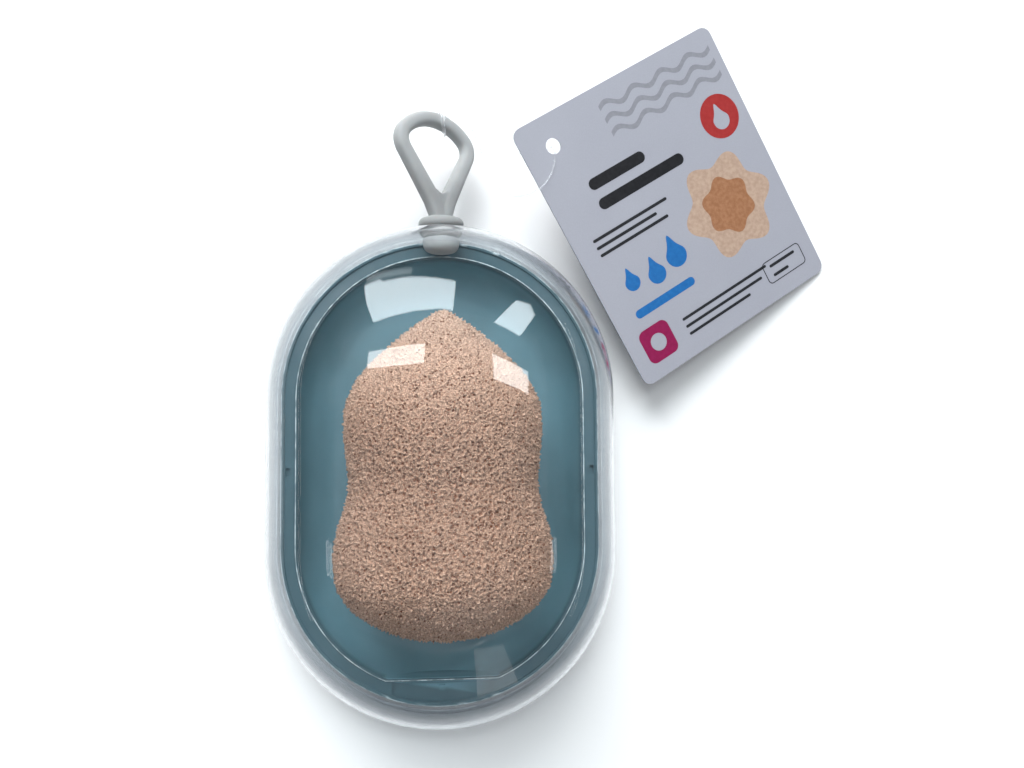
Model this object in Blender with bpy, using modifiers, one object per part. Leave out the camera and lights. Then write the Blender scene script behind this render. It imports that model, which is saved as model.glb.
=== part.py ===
"""Facial cleansing puff in its travel case.

A moulded tray carries a clear domed lid. A soft strap is plugged through the lid's end wall,
a foam puff lies in the tray, and a card tag hangs from the strap on a nylon loop.
Frame: +Z up, +Y towards the strap, origin at the centre of the tray's flat foot. Metres.
"""

import math

import bmesh
import bpy
from mathutils import Matrix, Vector

MM = 0.001
GAP = 0.3 * MM
MERGE = 0.001 * MM
OVERRUN = 3.0 * MM
SHARP_ANGLE = math.radians(35.0)
QUARTER = math.pi / 2.0

# Case plan: a stadium, two half circles joined by straight sides
STRAIGHT_HALF = 20.5 * MM
ARC_STEPS = 12
OUTLINE_STEPS = 25
FILLET_STEPS = 3

# Tray
RIM_RADIUS = 45.5 * MM
FLANGE_WIDTH = 5.2 * MM
TRAY_MOUTH_RADIUS = RIM_RADIUS - FLANGE_WIDTH
TRAY_WALL = 1.6 * MM
TRAY_WALL_DRAFT = 2.2 * MM
TRAY_BOWL_FILLET = 10.0 * MM
FLANGE_TOP = 12.5 * MM
FLANGE_THICKNESS = 1.5 * MM
RIM_WALL = 1.4 * MM
RIM_EDGE_FILLET = 0.3 * MM
RIM_BEAD_WIDTH = 1.1 * MM
RIM_BEAD_HEIGHT = 0.5 * MM
LEDGE_TOP = 7.4 * MM
LEDGE_THICKNESS = 1.3 * MM
LEDGE_LIP_DROP = 2.4 * MM
LEDGE_LIP_WIDTH = 1.3 * MM

# Raised lip round the tray's mouth, straight across at the thumb end
LIP_INSET = 0.2 * MM
LIP_WIDTH = 0.8 * MM
LIP_HEIGHT = 0.5 * MM
LIP_ROOT = 0.6 * MM
CHORD_HALF_WIDTH = 15.7 * MM
SHELF_FOOT = 4.6 * MM
RECESS_HALF_WIDTH = 14.0 * MM
RECESS_DEPTH = 0.7 * MM
RECESS_MARGIN = 0.2 * MM
NUB_SIZE = 1.8 * MM
NUB_INSET = 1.0 * MM

# Dimples in the flange at the middle of the long sides
DIMPLE_LENGTH = 2.6 * MM
DIMPLE_WIDTH = 1.3 * MM
DIMPLE_DEPTH = 0.8 * MM
DIMPLE_INSET = 2.2 * MM

# Foam puff: a pear turned about its long axis, then flattened
PUFF_LENGTH = 90.0 * MM
PUFF_WIDTH = 59.0 * MM
PUFF_THICKNESS = 44.0 * MM
PUFF_TIP_Y = 45.0 * MM
PUFF_CENTRE_X = 0.4 * MM
PUFF_SINK = 0.8 * MM
PUFF_HEADROOM = 3.9 * MM
PUFF_PITCH = math.radians(3.0)
PUFF_TURN_STEPS = 30
PUFF_SPAN_STEPS = 2
PUFF_PROFILE_SHARES = (
    (0.0, 0.0),
    (0.014, 0.088),
    (0.05, 0.244),
    (0.10, 0.436),
    (0.17, 0.664),
    (0.24, 0.83),
    (0.31, 0.905),
    (0.38, 0.915),
    (0.46, 0.89),
    (0.54, 0.868),
    (0.61, 0.905),
    (0.69, 0.98),
    (0.77, 1.0),
    (0.84, 0.965),
    (0.90, 0.84),
    (0.955, 0.59),
    (0.988, 0.31),
    (1.0, 0.0),
)

# Lid
LID_FIT = 0.5 * MM
LID_WALL = 1.0 * MM
LID_FLARE = 0.3 * MM
LID_SHOULDER = 24.0 * MM
LID_TOP = TRAY_WALL + GAP - PUFF_SINK + PUFF_THICKNESS + PUFF_HEADROOM + LID_WALL
LID_EDGE_FILLET = 0.3 * MM
DOME_POWER = 2.6
DOME_STEPS = 12

# Strap: turned plug, flat neck and teardrop ring
STEM_RADIUS = 2.85 * MM
DISC_RADIUS = 6.4 * MM
DISC_THICKNESS = 3.2 * MM
DISC_EDGE_FILLET = 1.2 * MM
HEAD_RADIUS = 5.3 * MM
STRAP_HEIGHT = FLANGE_TOP + RIM_BEAD_HEIGHT + GAP + HEAD_RADIUS
HEAD_LENGTH = 4.3 * MM
HEAD_TAPER = 0.5 * MM
HEAD_FILLET = 2.6 * MM
HEAD_EDGE_FILLET = 0.6 * MM
TURN_STEPS = 30
BAR_RADIUS = 2.05 * MM
RING_REACH = 29.5 * MM
RING_TOP_RADIUS = 13.9 * MM
RING_CORNER_RADIUS = 5.0 * MM
RING_TOP_ANGLE = math.radians(47.0)
RING_LEG_ANGLE = math.radians(32.0)
RING_LEG_FOOT = 5.6 * MM
RING_TWIST = math.radians(35.0)
RING_LEAN = math.radians(5.3)
RING_DROOP = math.radians(8.4)
RING_TOP_STEPS = 7
RING_CORNER_STEPS = 10
NECK_LENGTH = 7.2 * MM
NECK_ROOT = 0.6 * MM
NECK_ROOT_RADIUS = 2.7 * MM
NECK_TIP_RADIUS = 5.3 * MM
NECK_THICKNESS = 4.6 * MM

# Card tag, lying with its hole corner held up by the nylon loop
TAG_WIDTH = 71.0 * MM
TAG_LENGTH = 82.3 * MM
TAG_THICKNESS = 0.5 * MM
TAG_CORNER = 2.8 * MM
TAG_HOLE_RADIUS = 2.3 * MM
TAG_HOLE_SIDE_INSET = 9.6 * MM
TAG_HOLE_END_INSET = 8.8 * MM
TAG_CENTRE = Vector((69.1, 77.1, 13.65)) * MM
TAG_PITCH = math.radians(11.1)
TAG_ROLL = math.radians(8.9)
TAG_HEADING = math.radians(32.3)
TAG_CORNER_STEPS = 4
TAG_HOLE_STEPS = 16

# Nylon loop: from its lock up through the card's hole, two turns round the ring, and back
FILAMENT_RADIUS = 0.25 * MM
WRAP_ANGLE = math.radians(16.0)
WRAP_PITCH = 1.3 * MM
WRAP_SPREAD_SHARE = 0.22
WRAP_TURNS = 2
WRAP_TURN_POINTS = 8
LOOP_SPAN_STEPS = 6
LOOP_SPACING = 1.6 * MM
LOCK_RADIUS = 1.2 * MM
LOCK_LENGTH = 4.4 * MM
LOCK_BORE_DEPTH = 1.4 * MM
LOCK_STRAIGHT = 0.7 * MM
LOCK_EDGE_FILLET = 0.4 * MM
LOCK_TURN_STEPS = 16
LOCK_CENTRE = Vector((26.0, 90.4, 17.6)) * MM
LOCK_AXIS = Vector((0.86, -0.08, 0.50)).normalized()
ROUTE_OVER_CARD = (
    (30.2, 90.5, 21.2),
    (30.9, 90.4, 23.96),
    (31.5, 89.3, 25.2),
    (31.6, 86.4, 24.8),
    (30.7, 83.0, 24.7),
    (27.9, 78.9, 25.0),
    (23.8, 76.4, 24.8),
    (18.8, 77.0, 22.8),
    (14.9, 81.0, 21.0),
    (12.2, 87.5, 19.8),
    (9.6, 94.6, 18.9),
    (6.6, 100.6, 17.4),
)
ROUTE_UNDER_CARD = (
    (-0.6, 104.3, 9.2),
    (2.6, 104.6, 6.2),
    (7.6, 102.2, 6.0),
    (13.0, 97.6, 8.8),
    (18.2, 93.2, 12.8),
)


def make_material(name, colour, roughness, transmission=0.0):
    """Principled material with one colour."""
    material = bpy.data.materials.new(name)
    material.use_nodes = True
    shader = material.node_tree.nodes["Principled BSDF"]
    shader.inputs["Base Color"].default_value = (*colour, 1.0)
    shader.inputs["Roughness"].default_value = roughness
    shader.inputs["Metallic"].default_value = 0.0
    shader.inputs["Transmission Weight"].default_value = transmission
    return material


def finish_mesh(name, bm, collection):
    """Turn a bmesh into an object, smooth but for its sharp edges."""
    mesh = bpy.data.meshes.new(name)
    bm.to_mesh(mesh)
    bm.free()
    mesh.shade_smooth()
    mesh.set_sharp_from_angle(angle=SHARP_ANGLE)
    item = bpy.data.objects.new(name, mesh)
    collection.objects.link(item)
    return item


def face_outwards(bm):
    """Make all faces agree, with the lowest one looking down."""
    bmesh.ops.recalc_face_normals(bm, faces=bm.faces)
    lowest = min(bm.faces, key=lambda face: face.calc_center_median().z)
    if lowest.normal.z > 0.0:
        bmesh.ops.reverse_faces(bm, faces=bm.faces)


def round_corners(corners):
    """Points through (across, up, fillet) corners, with an arc in place of each filleted one."""
    points = []
    for index, (across, up, fillet) in enumerate(corners):
        here = Vector((across, up))
        if fillet == 0.0:
            points.append(here)
            continue
        before = (Vector(corners[index - 1][:2]) - here).normalized()
        after = (Vector(corners[index + 1][:2]) - here).normalized()
        half = before.angle(after) / 2.0
        centre = here + (before + after).normalized() * (fillet / math.sin(half))
        start = here + before * (fillet / math.tan(half)) - centre
        end = here + after * (fillet / math.tan(half)) - centre
        sweep = start.angle_signed(end)
        for step in range(FILLET_STEPS + 1):
            points.append(centre + Matrix.Rotation(-sweep * step / FILLET_STEPS, 2) @ start)
    return points


def stadium_solid(name, profile, collection):
    """Closed solid from a section that starts and ends on the middle line.

    A quarter is run along the straight side and spun round the end; Mirror makes the rest.
    """
    bm = bmesh.new()
    verts = [bm.verts.new((point.x, 0.0, point.y)) for point in profile]
    edges = [bm.edges.new(pair) for pair in zip(verts, verts[1:])]
    run = bmesh.ops.extrude_edge_only(bm, edges=edges)["geom"]
    front = [part for part in run if not isinstance(part, bmesh.types.BMFace)]
    moved = [part for part in front if isinstance(part, bmesh.types.BMVert)]
    bmesh.ops.translate(bm, verts=moved, vec=(0.0, STRAIGHT_HALF, 0.0))
    bmesh.ops.spin(
        bm,
        geom=front,
        angle=QUARTER,
        steps=ARC_STEPS,
        axis=(0.0, 0.0, 1.0),
        cent=(0.0, STRAIGHT_HALF, 0.0),
    )
    bmesh.ops.remove_doubles(bm, verts=bm.verts, dist=MERGE)
    face_outwards(bm)
    item = finish_mesh(name, bm, collection)
    mirror = item.modifiers.new("Mirror", "MIRROR")
    mirror.use_axis = (True, True, False)
    mirror.merge_threshold = MERGE
    return item


def prism(name, outline, low, high, collection):
    """Straight block over a flat outline, from one height to another."""
    bm = bmesh.new()
    face = bm.faces.new([bm.verts.new((x, y, low)) for x, y in outline])
    top = bmesh.ops.extrude_face_region(bm, geom=[face])["geom"]
    moved = [part for part in top if isinstance(part, bmesh.types.BMVert)]
    bmesh.ops.translate(bm, verts=moved, vec=(0.0, 0.0, high - low))
    face_outwards(bm)
    return finish_mesh(name, bm, collection)


def block(name, size, centre, collection):
    """Plain box."""
    bm = bmesh.new()
    bmesh.ops.create_cube(bm, size=1.0, matrix=Matrix.Diagonal((*size, 1.0)))
    item = finish_mesh(name, bm, collection)
    item.location = centre
    return item


def bar_along_y(name, radius, start, end, height, collection):
    """Round bar along Y on the middle plane."""
    bm = bmesh.new()
    bmesh.ops.create_cone(
        bm, cap_ends=True, segments=TURN_STEPS, radius1=radius, radius2=radius, depth=end - start
    )
    item = finish_mesh(name, bm, collection)
    item.rotation_euler = (QUARTER, 0.0, 0.0)
    item.location = (0.0, (start + end) / 2.0, height)
    return item


def turned(name, profile, steps, collection):
    """Turned solid about local Z from a section that runs down its outer side."""
    mesh = bpy.data.meshes.new(name)
    edges = [(index, index + 1) for index in range(len(profile) - 1)]
    mesh.from_pydata([(point.x, 0.0, point.y) for point in profile], edges, [])
    item = bpy.data.objects.new(name, mesh)
    collection.objects.link(item)
    screw = item.modifiers.new("Screw", "SCREW")
    screw.steps = steps
    screw.render_steps = steps
    screw.use_merge_vertices = True
    screw.merge_threshold = MERGE
    screw.use_smooth_shade = True
    return item


def combine(target, tool, operation):
    """Boolean of an object with a helper that the render leaves out."""
    tool.hide_render = True
    tool.display_type = "WIRE"
    change = target.modifiers.new(tool.name, "BOOLEAN")
    change.operation = operation
    change.object = tool
    change.solver = "EXACT"


def tube_curve(name, points, radius, collection):
    """Round tube along points, with filled ends."""
    data = bpy.data.curves.new(name, "CURVE")
    data.dimensions = "3D"
    data.bevel_depth = radius
    data.bevel_resolution = 2
    data.use_fill_caps = True
    spline = data.splines.new("POLY")
    spline.points.add(len(points) - 1)
    for knot, point in zip(spline.points, points):
        knot.co = (*point, 1.0)
    item = bpy.data.objects.new(name, data)
    collection.objects.link(item)
    return item


def curve_to_mesh(item, collection):
    """Replace a curve object by a welded mesh object of the same name."""
    bpy.context.view_layer.update()
    graph = bpy.context.evaluated_depsgraph_get()
    mesh = bpy.data.meshes.new_from_object(item.evaluated_get(graph))
    name = item.name
    place = item.matrix_world.copy()
    bpy.data.objects.remove(item, do_unlink=True)
    bm = bmesh.new()
    bm.from_mesh(mesh)
    bmesh.ops.remove_doubles(bm, verts=bm.verts, dist=MERGE)
    bpy.data.meshes.remove(mesh)
    solid = finish_mesh(name, bm, collection)
    solid.matrix_world = place
    return solid


def arc_points(radius, centre_y, start, sweep, steps):
    """Points on an arc in plan."""
    turns = [start + sweep * step / steps for step in range(steps + 1)]
    return [(radius * math.cos(turn), centre_y + radius * math.sin(turn)) for turn in turns]


def mouth_outline(spread):
    """Outline of the tray's mouth, moved outwards, with its straight chord at the thumb end."""
    radius = TRAY_MOUTH_RADIUS + spread
    chord = thumb_chord() + spread
    reach = math.asin(chord / radius)
    points = arc_points(radius, STRAIGHT_HALF, 0.0, math.pi, OUTLINE_STEPS)
    points += arc_points(radius, -STRAIGHT_HALF, math.pi, reach, ARC_STEPS)
    points += arc_points(radius, -STRAIGHT_HALF, 2.0 * math.pi - reach, reach, ARC_STEPS)
    return points


def thumb_chord():
    """Distance of the chord from the end arc's centre."""
    return math.sqrt(TRAY_MOUTH_RADIUS**2 - CHORD_HALF_WIDTH**2)


def bowl_section(spread, floor, top):
    """Corners of the bowl from its middle out to its mouth, moved outwards."""
    corner = TRAY_MOUTH_RADIUS - TRAY_WALL_DRAFT + spread
    return [
        (0.0, floor, 0.0),
        (corner, floor, TRAY_BOWL_FILLET + spread),
        (TRAY_MOUTH_RADIUS + spread, top, 0.0),
    ]


def build_tray(parts, cutters):
    """Case base: bowl, flange, rim bead, and the ledge that the lid stands on."""
    bead_inner = RIM_RADIUS - RIM_BEAD_WIDTH
    bead_top = FLANGE_TOP + RIM_BEAD_HEIGHT
    ledge_radius = lid_outer_radius(LEDGE_TOP)
    rim = [
        (bead_inner, FLANGE_TOP, 0.0),
        (bead_inner, bead_top, 0.0),
        (RIM_RADIUS, bead_top, RIM_EDGE_FILLET),
        (RIM_RADIUS, LEDGE_TOP, 0.0),
        (ledge_radius, LEDGE_TOP, RIM_EDGE_FILLET),
        (ledge_radius, LEDGE_TOP - LEDGE_LIP_DROP, RIM_EDGE_FILLET),
        (ledge_radius - LEDGE_LIP_WIDTH, LEDGE_TOP - LEDGE_LIP_DROP, 0.0),
        (ledge_radius - LEDGE_LIP_WIDTH, LEDGE_TOP - LEDGE_THICKNESS, 0.0),
        (RIM_RADIUS - RIM_WALL, LEDGE_TOP - LEDGE_THICKNESS, 0.0),
        (RIM_RADIUS - RIM_WALL, FLANGE_TOP - FLANGE_THICKNESS, 0.0),
    ]
    inside = bowl_section(0.0, TRAY_WALL, FLANGE_TOP)
    outside = bowl_section(TRAY_WALL, 0.0, FLANGE_TOP - FLANGE_THICKNESS)
    tray = stadium_solid("case_base", round_corners(inside + rim + outside[::-1]), parts)
    add_thumb_shelf(tray, cutters)
    add_lip(tray, cutters)
    cut_thumb_recess(tray, cutters)
    cut_dimples(tray, cutters)
    tray.data.materials.append(make_material("tray_blue", (0.115, 0.195, 0.235), 0.38))
    return tray


def add_thumb_shelf(tray, cutters):
    """Fill the bowl's end between the arc and the chord."""
    middle = TRAY_WALL / 2.0
    section = bowl_section(middle, middle, FLANGE_TOP)
    envelope = stadium_solid("bowl_envelope", round_corners(section) + [Vector((0.0, FLANGE_TOP))], cutters)
    reach = STRAIGHT_HALF + TRAY_MOUTH_RADIUS + OVERRUN
    depth = reach - STRAIGHT_HALF - thumb_chord()
    size = (2.0 * TRAY_MOUTH_RADIUS, depth, FLANGE_TOP - SHELF_FOOT + OVERRUN)
    centre = (0.0, depth / 2.0 - reach, SHELF_FOOT + size[2] / 2.0)
    keep = block("shelf_limit", size, centre, cutters)
    combine(envelope, keep, "INTERSECT")
    combine(tray, envelope, "UNION")


def add_lip(tray, cutters):
    """Raised lip that follows the mouth and its chord."""
    low = FLANGE_TOP - LIP_ROOT
    high = FLANGE_TOP + LIP_HEIGHT
    lip = prism("mouth_lip", mouth_outline(LIP_INSET + LIP_WIDTH), low, high, cutters)
    core = prism("mouth_core", mouth_outline(LIP_INSET), low - OVERRUN, high + OVERRUN, cutters)
    combine(lip, core, "DIFFERENCE")
    combine(tray, lip, "UNION")


def cut_thumb_recess(tray, cutters):
    """Shallow finger recess outside the chord, with a small square nub left in it."""
    radius = RIM_RADIUS - RIM_BEAD_WIDTH - RECESS_MARGIN
    reach = math.asin(RECESS_HALF_WIDTH / radius)
    inner = -STRAIGHT_HALF - thumb_chord() - LIP_INSET - LIP_WIDTH - RECESS_MARGIN
    outline = arc_points(radius, -STRAIGHT_HALF, -QUARTER - reach, 2.0 * reach, OUTLINE_STEPS)
    outline += [(RECESS_HALF_WIDTH, inner), (-RECESS_HALF_WIDTH, inner)]
    floor = FLANGE_TOP - RECESS_DEPTH
    recess = prism("thumb_recess", outline, floor, FLANGE_TOP + OVERRUN, cutters)
    combine(tray, recess, "DIFFERENCE")
    nub_y = inner - NUB_INSET - NUB_SIZE / 2.0
    nub = block("thumb_nub", (NUB_SIZE, NUB_SIZE, 2.0 * RECESS_DEPTH), (0.0, nub_y, floor), cutters)
    combine(tray, nub, "UNION")


def cut_dimples(tray, cutters):
    """One dimple in the flange at the middle of each long side."""
    size = (DIMPLE_WIDTH, DIMPLE_LENGTH, 2.0 * DIMPLE_DEPTH)
    for side in (-1.0, 1.0):
        centre = (side * (RIM_RADIUS - DIMPLE_INSET), 0.0, FLANGE_TOP)
        dimple = block("dimple", size, centre, cutters)
        combine(tray, dimple, "DIFFERENCE")


def lid_outer_radius(height):
    """Outer radius of the lid's drafted wall at a height."""
    foot_radius = RIM_RADIUS + LID_FIT + LID_WALL
    share = (height - LEDGE_TOP) / (LID_SHOULDER - LEDGE_TOP)
    return foot_radius - LID_FLARE * share


def dome(radius, top, steps):
    """Section of the dome from its crown down to the shoulder: a superellipse."""
    rise = top - LID_SHOULDER
    points = []
    for step in range(steps):
        turn = QUARTER * step / steps
        across = radius * math.sin(turn) ** (2.0 / DOME_POWER)
        up = LID_SHOULDER + rise * math.cos(turn) ** (2.0 / DOME_POWER)
        points.append(Vector((across, up)))
    points.append(Vector((radius, LID_SHOULDER)))
    return points


def build_lid(parts, cutters):
    """Clear domed lid with a round hole for the strap's stem."""
    foot = LEDGE_TOP + GAP
    outer = lid_outer_radius(foot)
    shoulder = lid_outer_radius(LID_SHOULDER)
    edge = [
        (shoulder, LID_SHOULDER, 0.0),
        (outer, foot, LID_EDGE_FILLET),
        (outer - LID_WALL, foot, LID_EDGE_FILLET),
        (shoulder - LID_WALL, LID_SHOULDER, 0.0),
    ]
    outside = dome(shoulder, LID_TOP, DOME_STEPS)
    inside = dome(shoulder - LID_WALL, LID_TOP - LID_WALL, DOME_STEPS)
    profile = outside + round_corners(edge)[1:-1] + inside[::-1]
    lid = stadium_solid("case_lid", profile, parts)
    wall = STRAIGHT_HALF + lid_outer_radius(STRAP_HEIGHT)
    hole = bar_along_y(
        "stem_hole", STEM_RADIUS + GAP, wall - LID_WALL - OVERRUN, wall + OVERRUN, STRAP_HEIGHT, cutters
    )
    combine(lid, hole, "DIFFERENCE")
    lid.data.materials.append(make_material("clear_plastic", (0.92, 0.96, 0.98), 0.04, 1.0))
    return lid


def ring_matrix():
    """Lean, twist and droop of the ring against the plug's axis."""
    lean = Matrix.Rotation(-RING_LEAN, 4, "Y")
    twist = Matrix.Rotation(RING_TWIST, 4, "Z")
    droop = Matrix.Rotation(-RING_DROOP, 4, "X")
    return droop @ twist @ lean


def plug_matrix():
    """Place of the strap: its local Z runs out of the lid's end wall along +Y."""
    wall = STRAIGHT_HALF + lid_outer_radius(STRAP_HEIGHT)
    return Matrix.Translation((0.0, wall, STRAP_HEIGHT)) @ Matrix.Rotation(-QUARTER, 4, "X")


def disc_top():
    """Height of the disc's outer face over the lid's wall, whose draft brings its foot closest."""
    draft = lid_outer_radius(STRAP_HEIGHT - DISC_RADIUS) - lid_outer_radius(STRAP_HEIGHT)
    return GAP + draft + DISC_THICKNESS


def ring_place():
    """Place of the neck and ring, whose own Z runs out from the disc."""
    return plug_matrix() @ Matrix.Translation((0.0, 0.0, disc_top())) @ ring_matrix()


def ring_centreline():
    """Ring from one leg's foot round to the other, in its own plane: shallow top arc, tight corners."""
    top = Vector((0.0, 0.0, RING_REACH - RING_TOP_RADIUS))
    aside = Vector((math.sin(RING_TOP_ANGLE), 0.0, math.cos(RING_TOP_ANGLE)))
    corner = top + aside * (RING_TOP_RADIUS - RING_CORNER_RADIUS)
    half = []
    for step in range(RING_TOP_STEPS):
        turn = RING_TOP_ANGLE * step / RING_TOP_STEPS
        half.append(top + Vector((math.sin(turn), 0.0, math.cos(turn))) * RING_TOP_RADIUS)
    for step in range(RING_CORNER_STEPS + 1):
        turn = RING_TOP_ANGLE + (QUARTER + RING_LEG_ANGLE - RING_TOP_ANGLE) * step / RING_CORNER_STEPS
        half.append(corner + Vector((math.sin(turn), 0.0, math.cos(turn))) * RING_CORNER_RADIUS)
    drop = half[-1].z - RING_LEG_FOOT
    half.append(half[-1] - Vector((drop * math.tan(RING_LEG_ANGLE), 0.0, drop)))
    mirrored = [Vector((-point.x, 0.0, point.z)) for point in half[:0:-1]]
    return mirrored + half


def build_strap(parts, cutters):
    """Soft strap: plug with its mushroom head, neck and teardrop ring in one moulding."""
    wall_radius = lid_outer_radius(STRAP_HEIGHT) - LID_WALL
    sagitta = wall_radius - math.sqrt(wall_radius**2 - HEAD_RADIUS**2)
    seat = -LID_WALL - sagitta - GAP
    section = [
        (0.0, disc_top(), 0.0),
        (DISC_RADIUS, disc_top(), DISC_EDGE_FILLET),
        (DISC_RADIUS, disc_top() - DISC_THICKNESS, DISC_EDGE_FILLET),
        (STEM_RADIUS, disc_top() - DISC_THICKNESS, 0.0),
        (STEM_RADIUS, seat, 0.0),
        (HEAD_RADIUS, seat, HEAD_EDGE_FILLET),
        (HEAD_RADIUS - HEAD_TAPER, seat - HEAD_LENGTH, HEAD_FILLET),
        (0.0, seat - HEAD_LENGTH, 0.0),
    ]
    strap = turned("hang_strap", round_corners(section), TURN_STEPS, parts)
    strap.matrix_world = plug_matrix()

    bm = bmesh.new()
    bmesh.ops.create_cone(
        bm,
        cap_ends=True,
        segments=TURN_STEPS,
        radius1=NECK_ROOT_RADIUS,
        radius2=NECK_TIP_RADIUS,
        depth=NECK_LENGTH + NECK_ROOT,
        matrix=Matrix.Translation((0.0, 0.0, (NECK_LENGTH - NECK_ROOT) / 2.0)),
    )
    flatness = Matrix.Diagonal((1.0, NECK_THICKNESS / (NECK_ROOT_RADIUS + NECK_TIP_RADIUS), 1.0, 1.0))
    bmesh.ops.transform(bm, matrix=flatness, verts=bm.verts)
    neck = finish_mesh("strap_neck", bm, cutters)
    neck.matrix_world = ring_place()

    ring = curve_to_mesh(tube_curve("strap_ring", ring_centreline(), BAR_RADIUS, cutters), cutters)
    ring.matrix_world = ring_place()
    combine(strap, neck, "UNION")
    combine(strap, ring, "UNION")
    strap.data.materials.append(make_material("strap_grey", (0.42, 0.44, 0.44), 0.5))
    return strap


def smooth_line(points, steps):
    """Smooth curve through points: centripetal Catmull-Rom, with a number of steps a span."""
    ends = [points[0] * 2.0 - points[1], *points, points[-1] * 2.0 - points[-2]]
    line = []
    for first, start, end, last in zip(ends, ends[1:], ends[2:], ends[3:]):
        lead, span, trail = (math.sqrt(length) for length in (
            (start - first).length, (end - start).length, (last - end).length
        ))
        leave = (end - start) + ((start - first) / lead - (end - first) / (lead + span)) * span
        arrive = (end - start) + ((last - end) / trail - (last - start) / (span + trail)) * span
        for step in range(steps):
            share = step / steps
            past = 3.0 * share**2 - 2.0 * share**3
            turn_out = share**3 - 2.0 * share**2 + share
            turn_in = share**3 - share**2
            line.append(start * (1.0 - past) + end * past + leave * turn_out + arrive * turn_in)
    line.append(points[-1])
    return line


def even_points(line, spacing):
    """The same line with points at one even spacing."""
    travelled = [0.0]
    for start, end in zip(line, line[1:]):
        travelled.append(travelled[-1] + (end - start).length)
    count = round(travelled[-1] / spacing)
    points = []
    index = 0
    for step in range(count):
        reach = travelled[-1] * step / count
        while travelled[index + 1] < reach:
            index += 1
        share = (reach - travelled[index]) / (travelled[index + 1] - travelled[index])
        points.append(line[index].lerp(line[index + 1], share))
    points.append(line[-1])
    return points


def build_puff(parts, cutters):
    """Foam puff: pear turned about its long axis, flattened, and flat where it rests."""
    stations = [Vector((width, along)) for along, width in PUFF_PROFILE_SHARES]
    line = smooth_line(stations, PUFF_SPAN_STEPS)
    radius = PUFF_WIDTH / 2.0
    profile = [Vector((abs(point.x) * radius, -point.y * PUFF_LENGTH)) for point in line]
    puff = turned("cleansing_puff", profile, PUFF_TURN_STEPS, parts)
    puff.scale = (1.0, PUFF_THICKNESS / PUFF_WIDTH, 1.0)
    puff.rotation_euler = (-QUARTER - PUFF_PITCH, 0.0, 0.0)
    belly_share = max(PUFF_PROFILE_SHARES, key=lambda pair: pair[1])[0]
    rest = TRAY_WALL + GAP
    centre = rest - PUFF_SINK + PUFF_THICKNESS / 2.0
    tip_drop = belly_share * PUFF_LENGTH * math.sin(PUFF_PITCH)
    puff.location = (PUFF_CENTRE_X, PUFF_TIP_Y, centre - tip_drop)
    size = (2.0 * PUFF_WIDTH, 2.0 * PUFF_LENGTH, PUFF_THICKNESS)
    below = block("tray_floor", size, (0.0, 0.0, rest - PUFF_THICKNESS / 2.0), cutters)
    combine(puff, below, "DIFFERENCE")
    puff.data.materials.append(make_material("foam_peach", (0.50, 0.33, 0.25), 0.9))
    return puff


def tag_matrix():
    """Place of the card: turned, rolled and pitched, with its far corner on the table."""
    heading = Matrix.Rotation(TAG_HEADING, 4, "Z")
    roll = Matrix.Rotation(TAG_ROLL, 4, "Y")
    pitch = Matrix.Rotation(TAG_PITCH, 4, "X")
    return Matrix.Translation(TAG_CENTRE) @ heading @ roll @ pitch


def build_tag(parts):
    """Card tag with rounded corners and a punched hole near one corner."""
    data = bpy.data.curves.new("tag_card", "CURVE")
    data.dimensions = "2D"
    data.fill_mode = "BOTH"
    data.extrude = TAG_THICKNESS / 2.0
    centre_x = TAG_WIDTH / 2.0 - TAG_CORNER
    centre_y = TAG_LENGTH / 2.0 - TAG_CORNER
    outline = []
    for index, (side_x, side_y) in enumerate(((1, 1), (-1, 1), (-1, -1), (1, -1))):
        for x, y in arc_points(TAG_CORNER, 0.0, index * QUARTER, QUARTER, TAG_CORNER_STEPS):
            outline.append((side_x * centre_x + x, side_y * centre_y + y))
    hole = []
    hole_x = TAG_HOLE_SIDE_INSET - TAG_WIDTH / 2.0
    hole_y = TAG_LENGTH / 2.0 - TAG_HOLE_END_INSET
    for x, y in arc_points(TAG_HOLE_RADIUS, hole_y, 0.0, 2.0 * math.pi, TAG_HOLE_STEPS)[:-1]:
        hole.append((hole_x + x, y))
    for points in (outline, hole):
        spline = data.splines.new("POLY")
        spline.points.add(len(points) - 1)
        spline.use_cyclic_u = True
        for knot, (x, y) in zip(spline.points, points):
            knot.co = (x, y, 0.0, 1.0)
    card = bpy.data.objects.new("tag_card", data)
    parts.objects.link(card)
    solid = curve_to_mesh(card, parts)
    solid.matrix_world = tag_matrix()
    solid.data.materials.append(make_material("card_print", (0.45, 0.48, 0.55), 0.35))
    return solid


def bar_frame():
    """Centre and axes of the ring's bar where the loop goes round it, in world space."""
    place = ring_place()
    across = RING_TOP_RADIUS * math.sin(WRAP_ANGLE)
    drop = RING_TOP_RADIUS - RING_TOP_RADIUS * math.cos(WRAP_ANGLE)
    centre = place @ Vector((across, 0.0, RING_REACH - drop))
    turn = place.to_3x3()
    along = turn @ Vector((math.cos(WRAP_ANGLE), 0.0, -math.sin(WRAP_ANGLE)))
    outward = turn @ Vector((math.sin(WRAP_ANGLE), 0.0, math.cos(WRAP_ANGLE)))
    return centre, along, outward


def wrap_points():
    """Turns round the bar, from the lower strand to the upper one, wider apart on its outer side."""
    centre, along, outward = bar_frame()
    upward = along.cross(outward)
    radius = BAR_RADIUS + GAP + FILAMENT_RADIUS
    points = []
    for step in range(WRAP_TURNS * WRAP_TURN_POINTS + 1):
        turns = step / WRAP_TURN_POINTS
        angle = 2.0 * math.pi * turns
        spread = 1.0 + WRAP_SPREAD_SHARE * math.cos(angle)
        shift = along * (WRAP_PITCH * spread * (turns - WRAP_TURNS / 2.0))
        points.append(centre + shift + (outward * math.cos(angle) + upward * math.sin(angle)) * radius)
    return points


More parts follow.
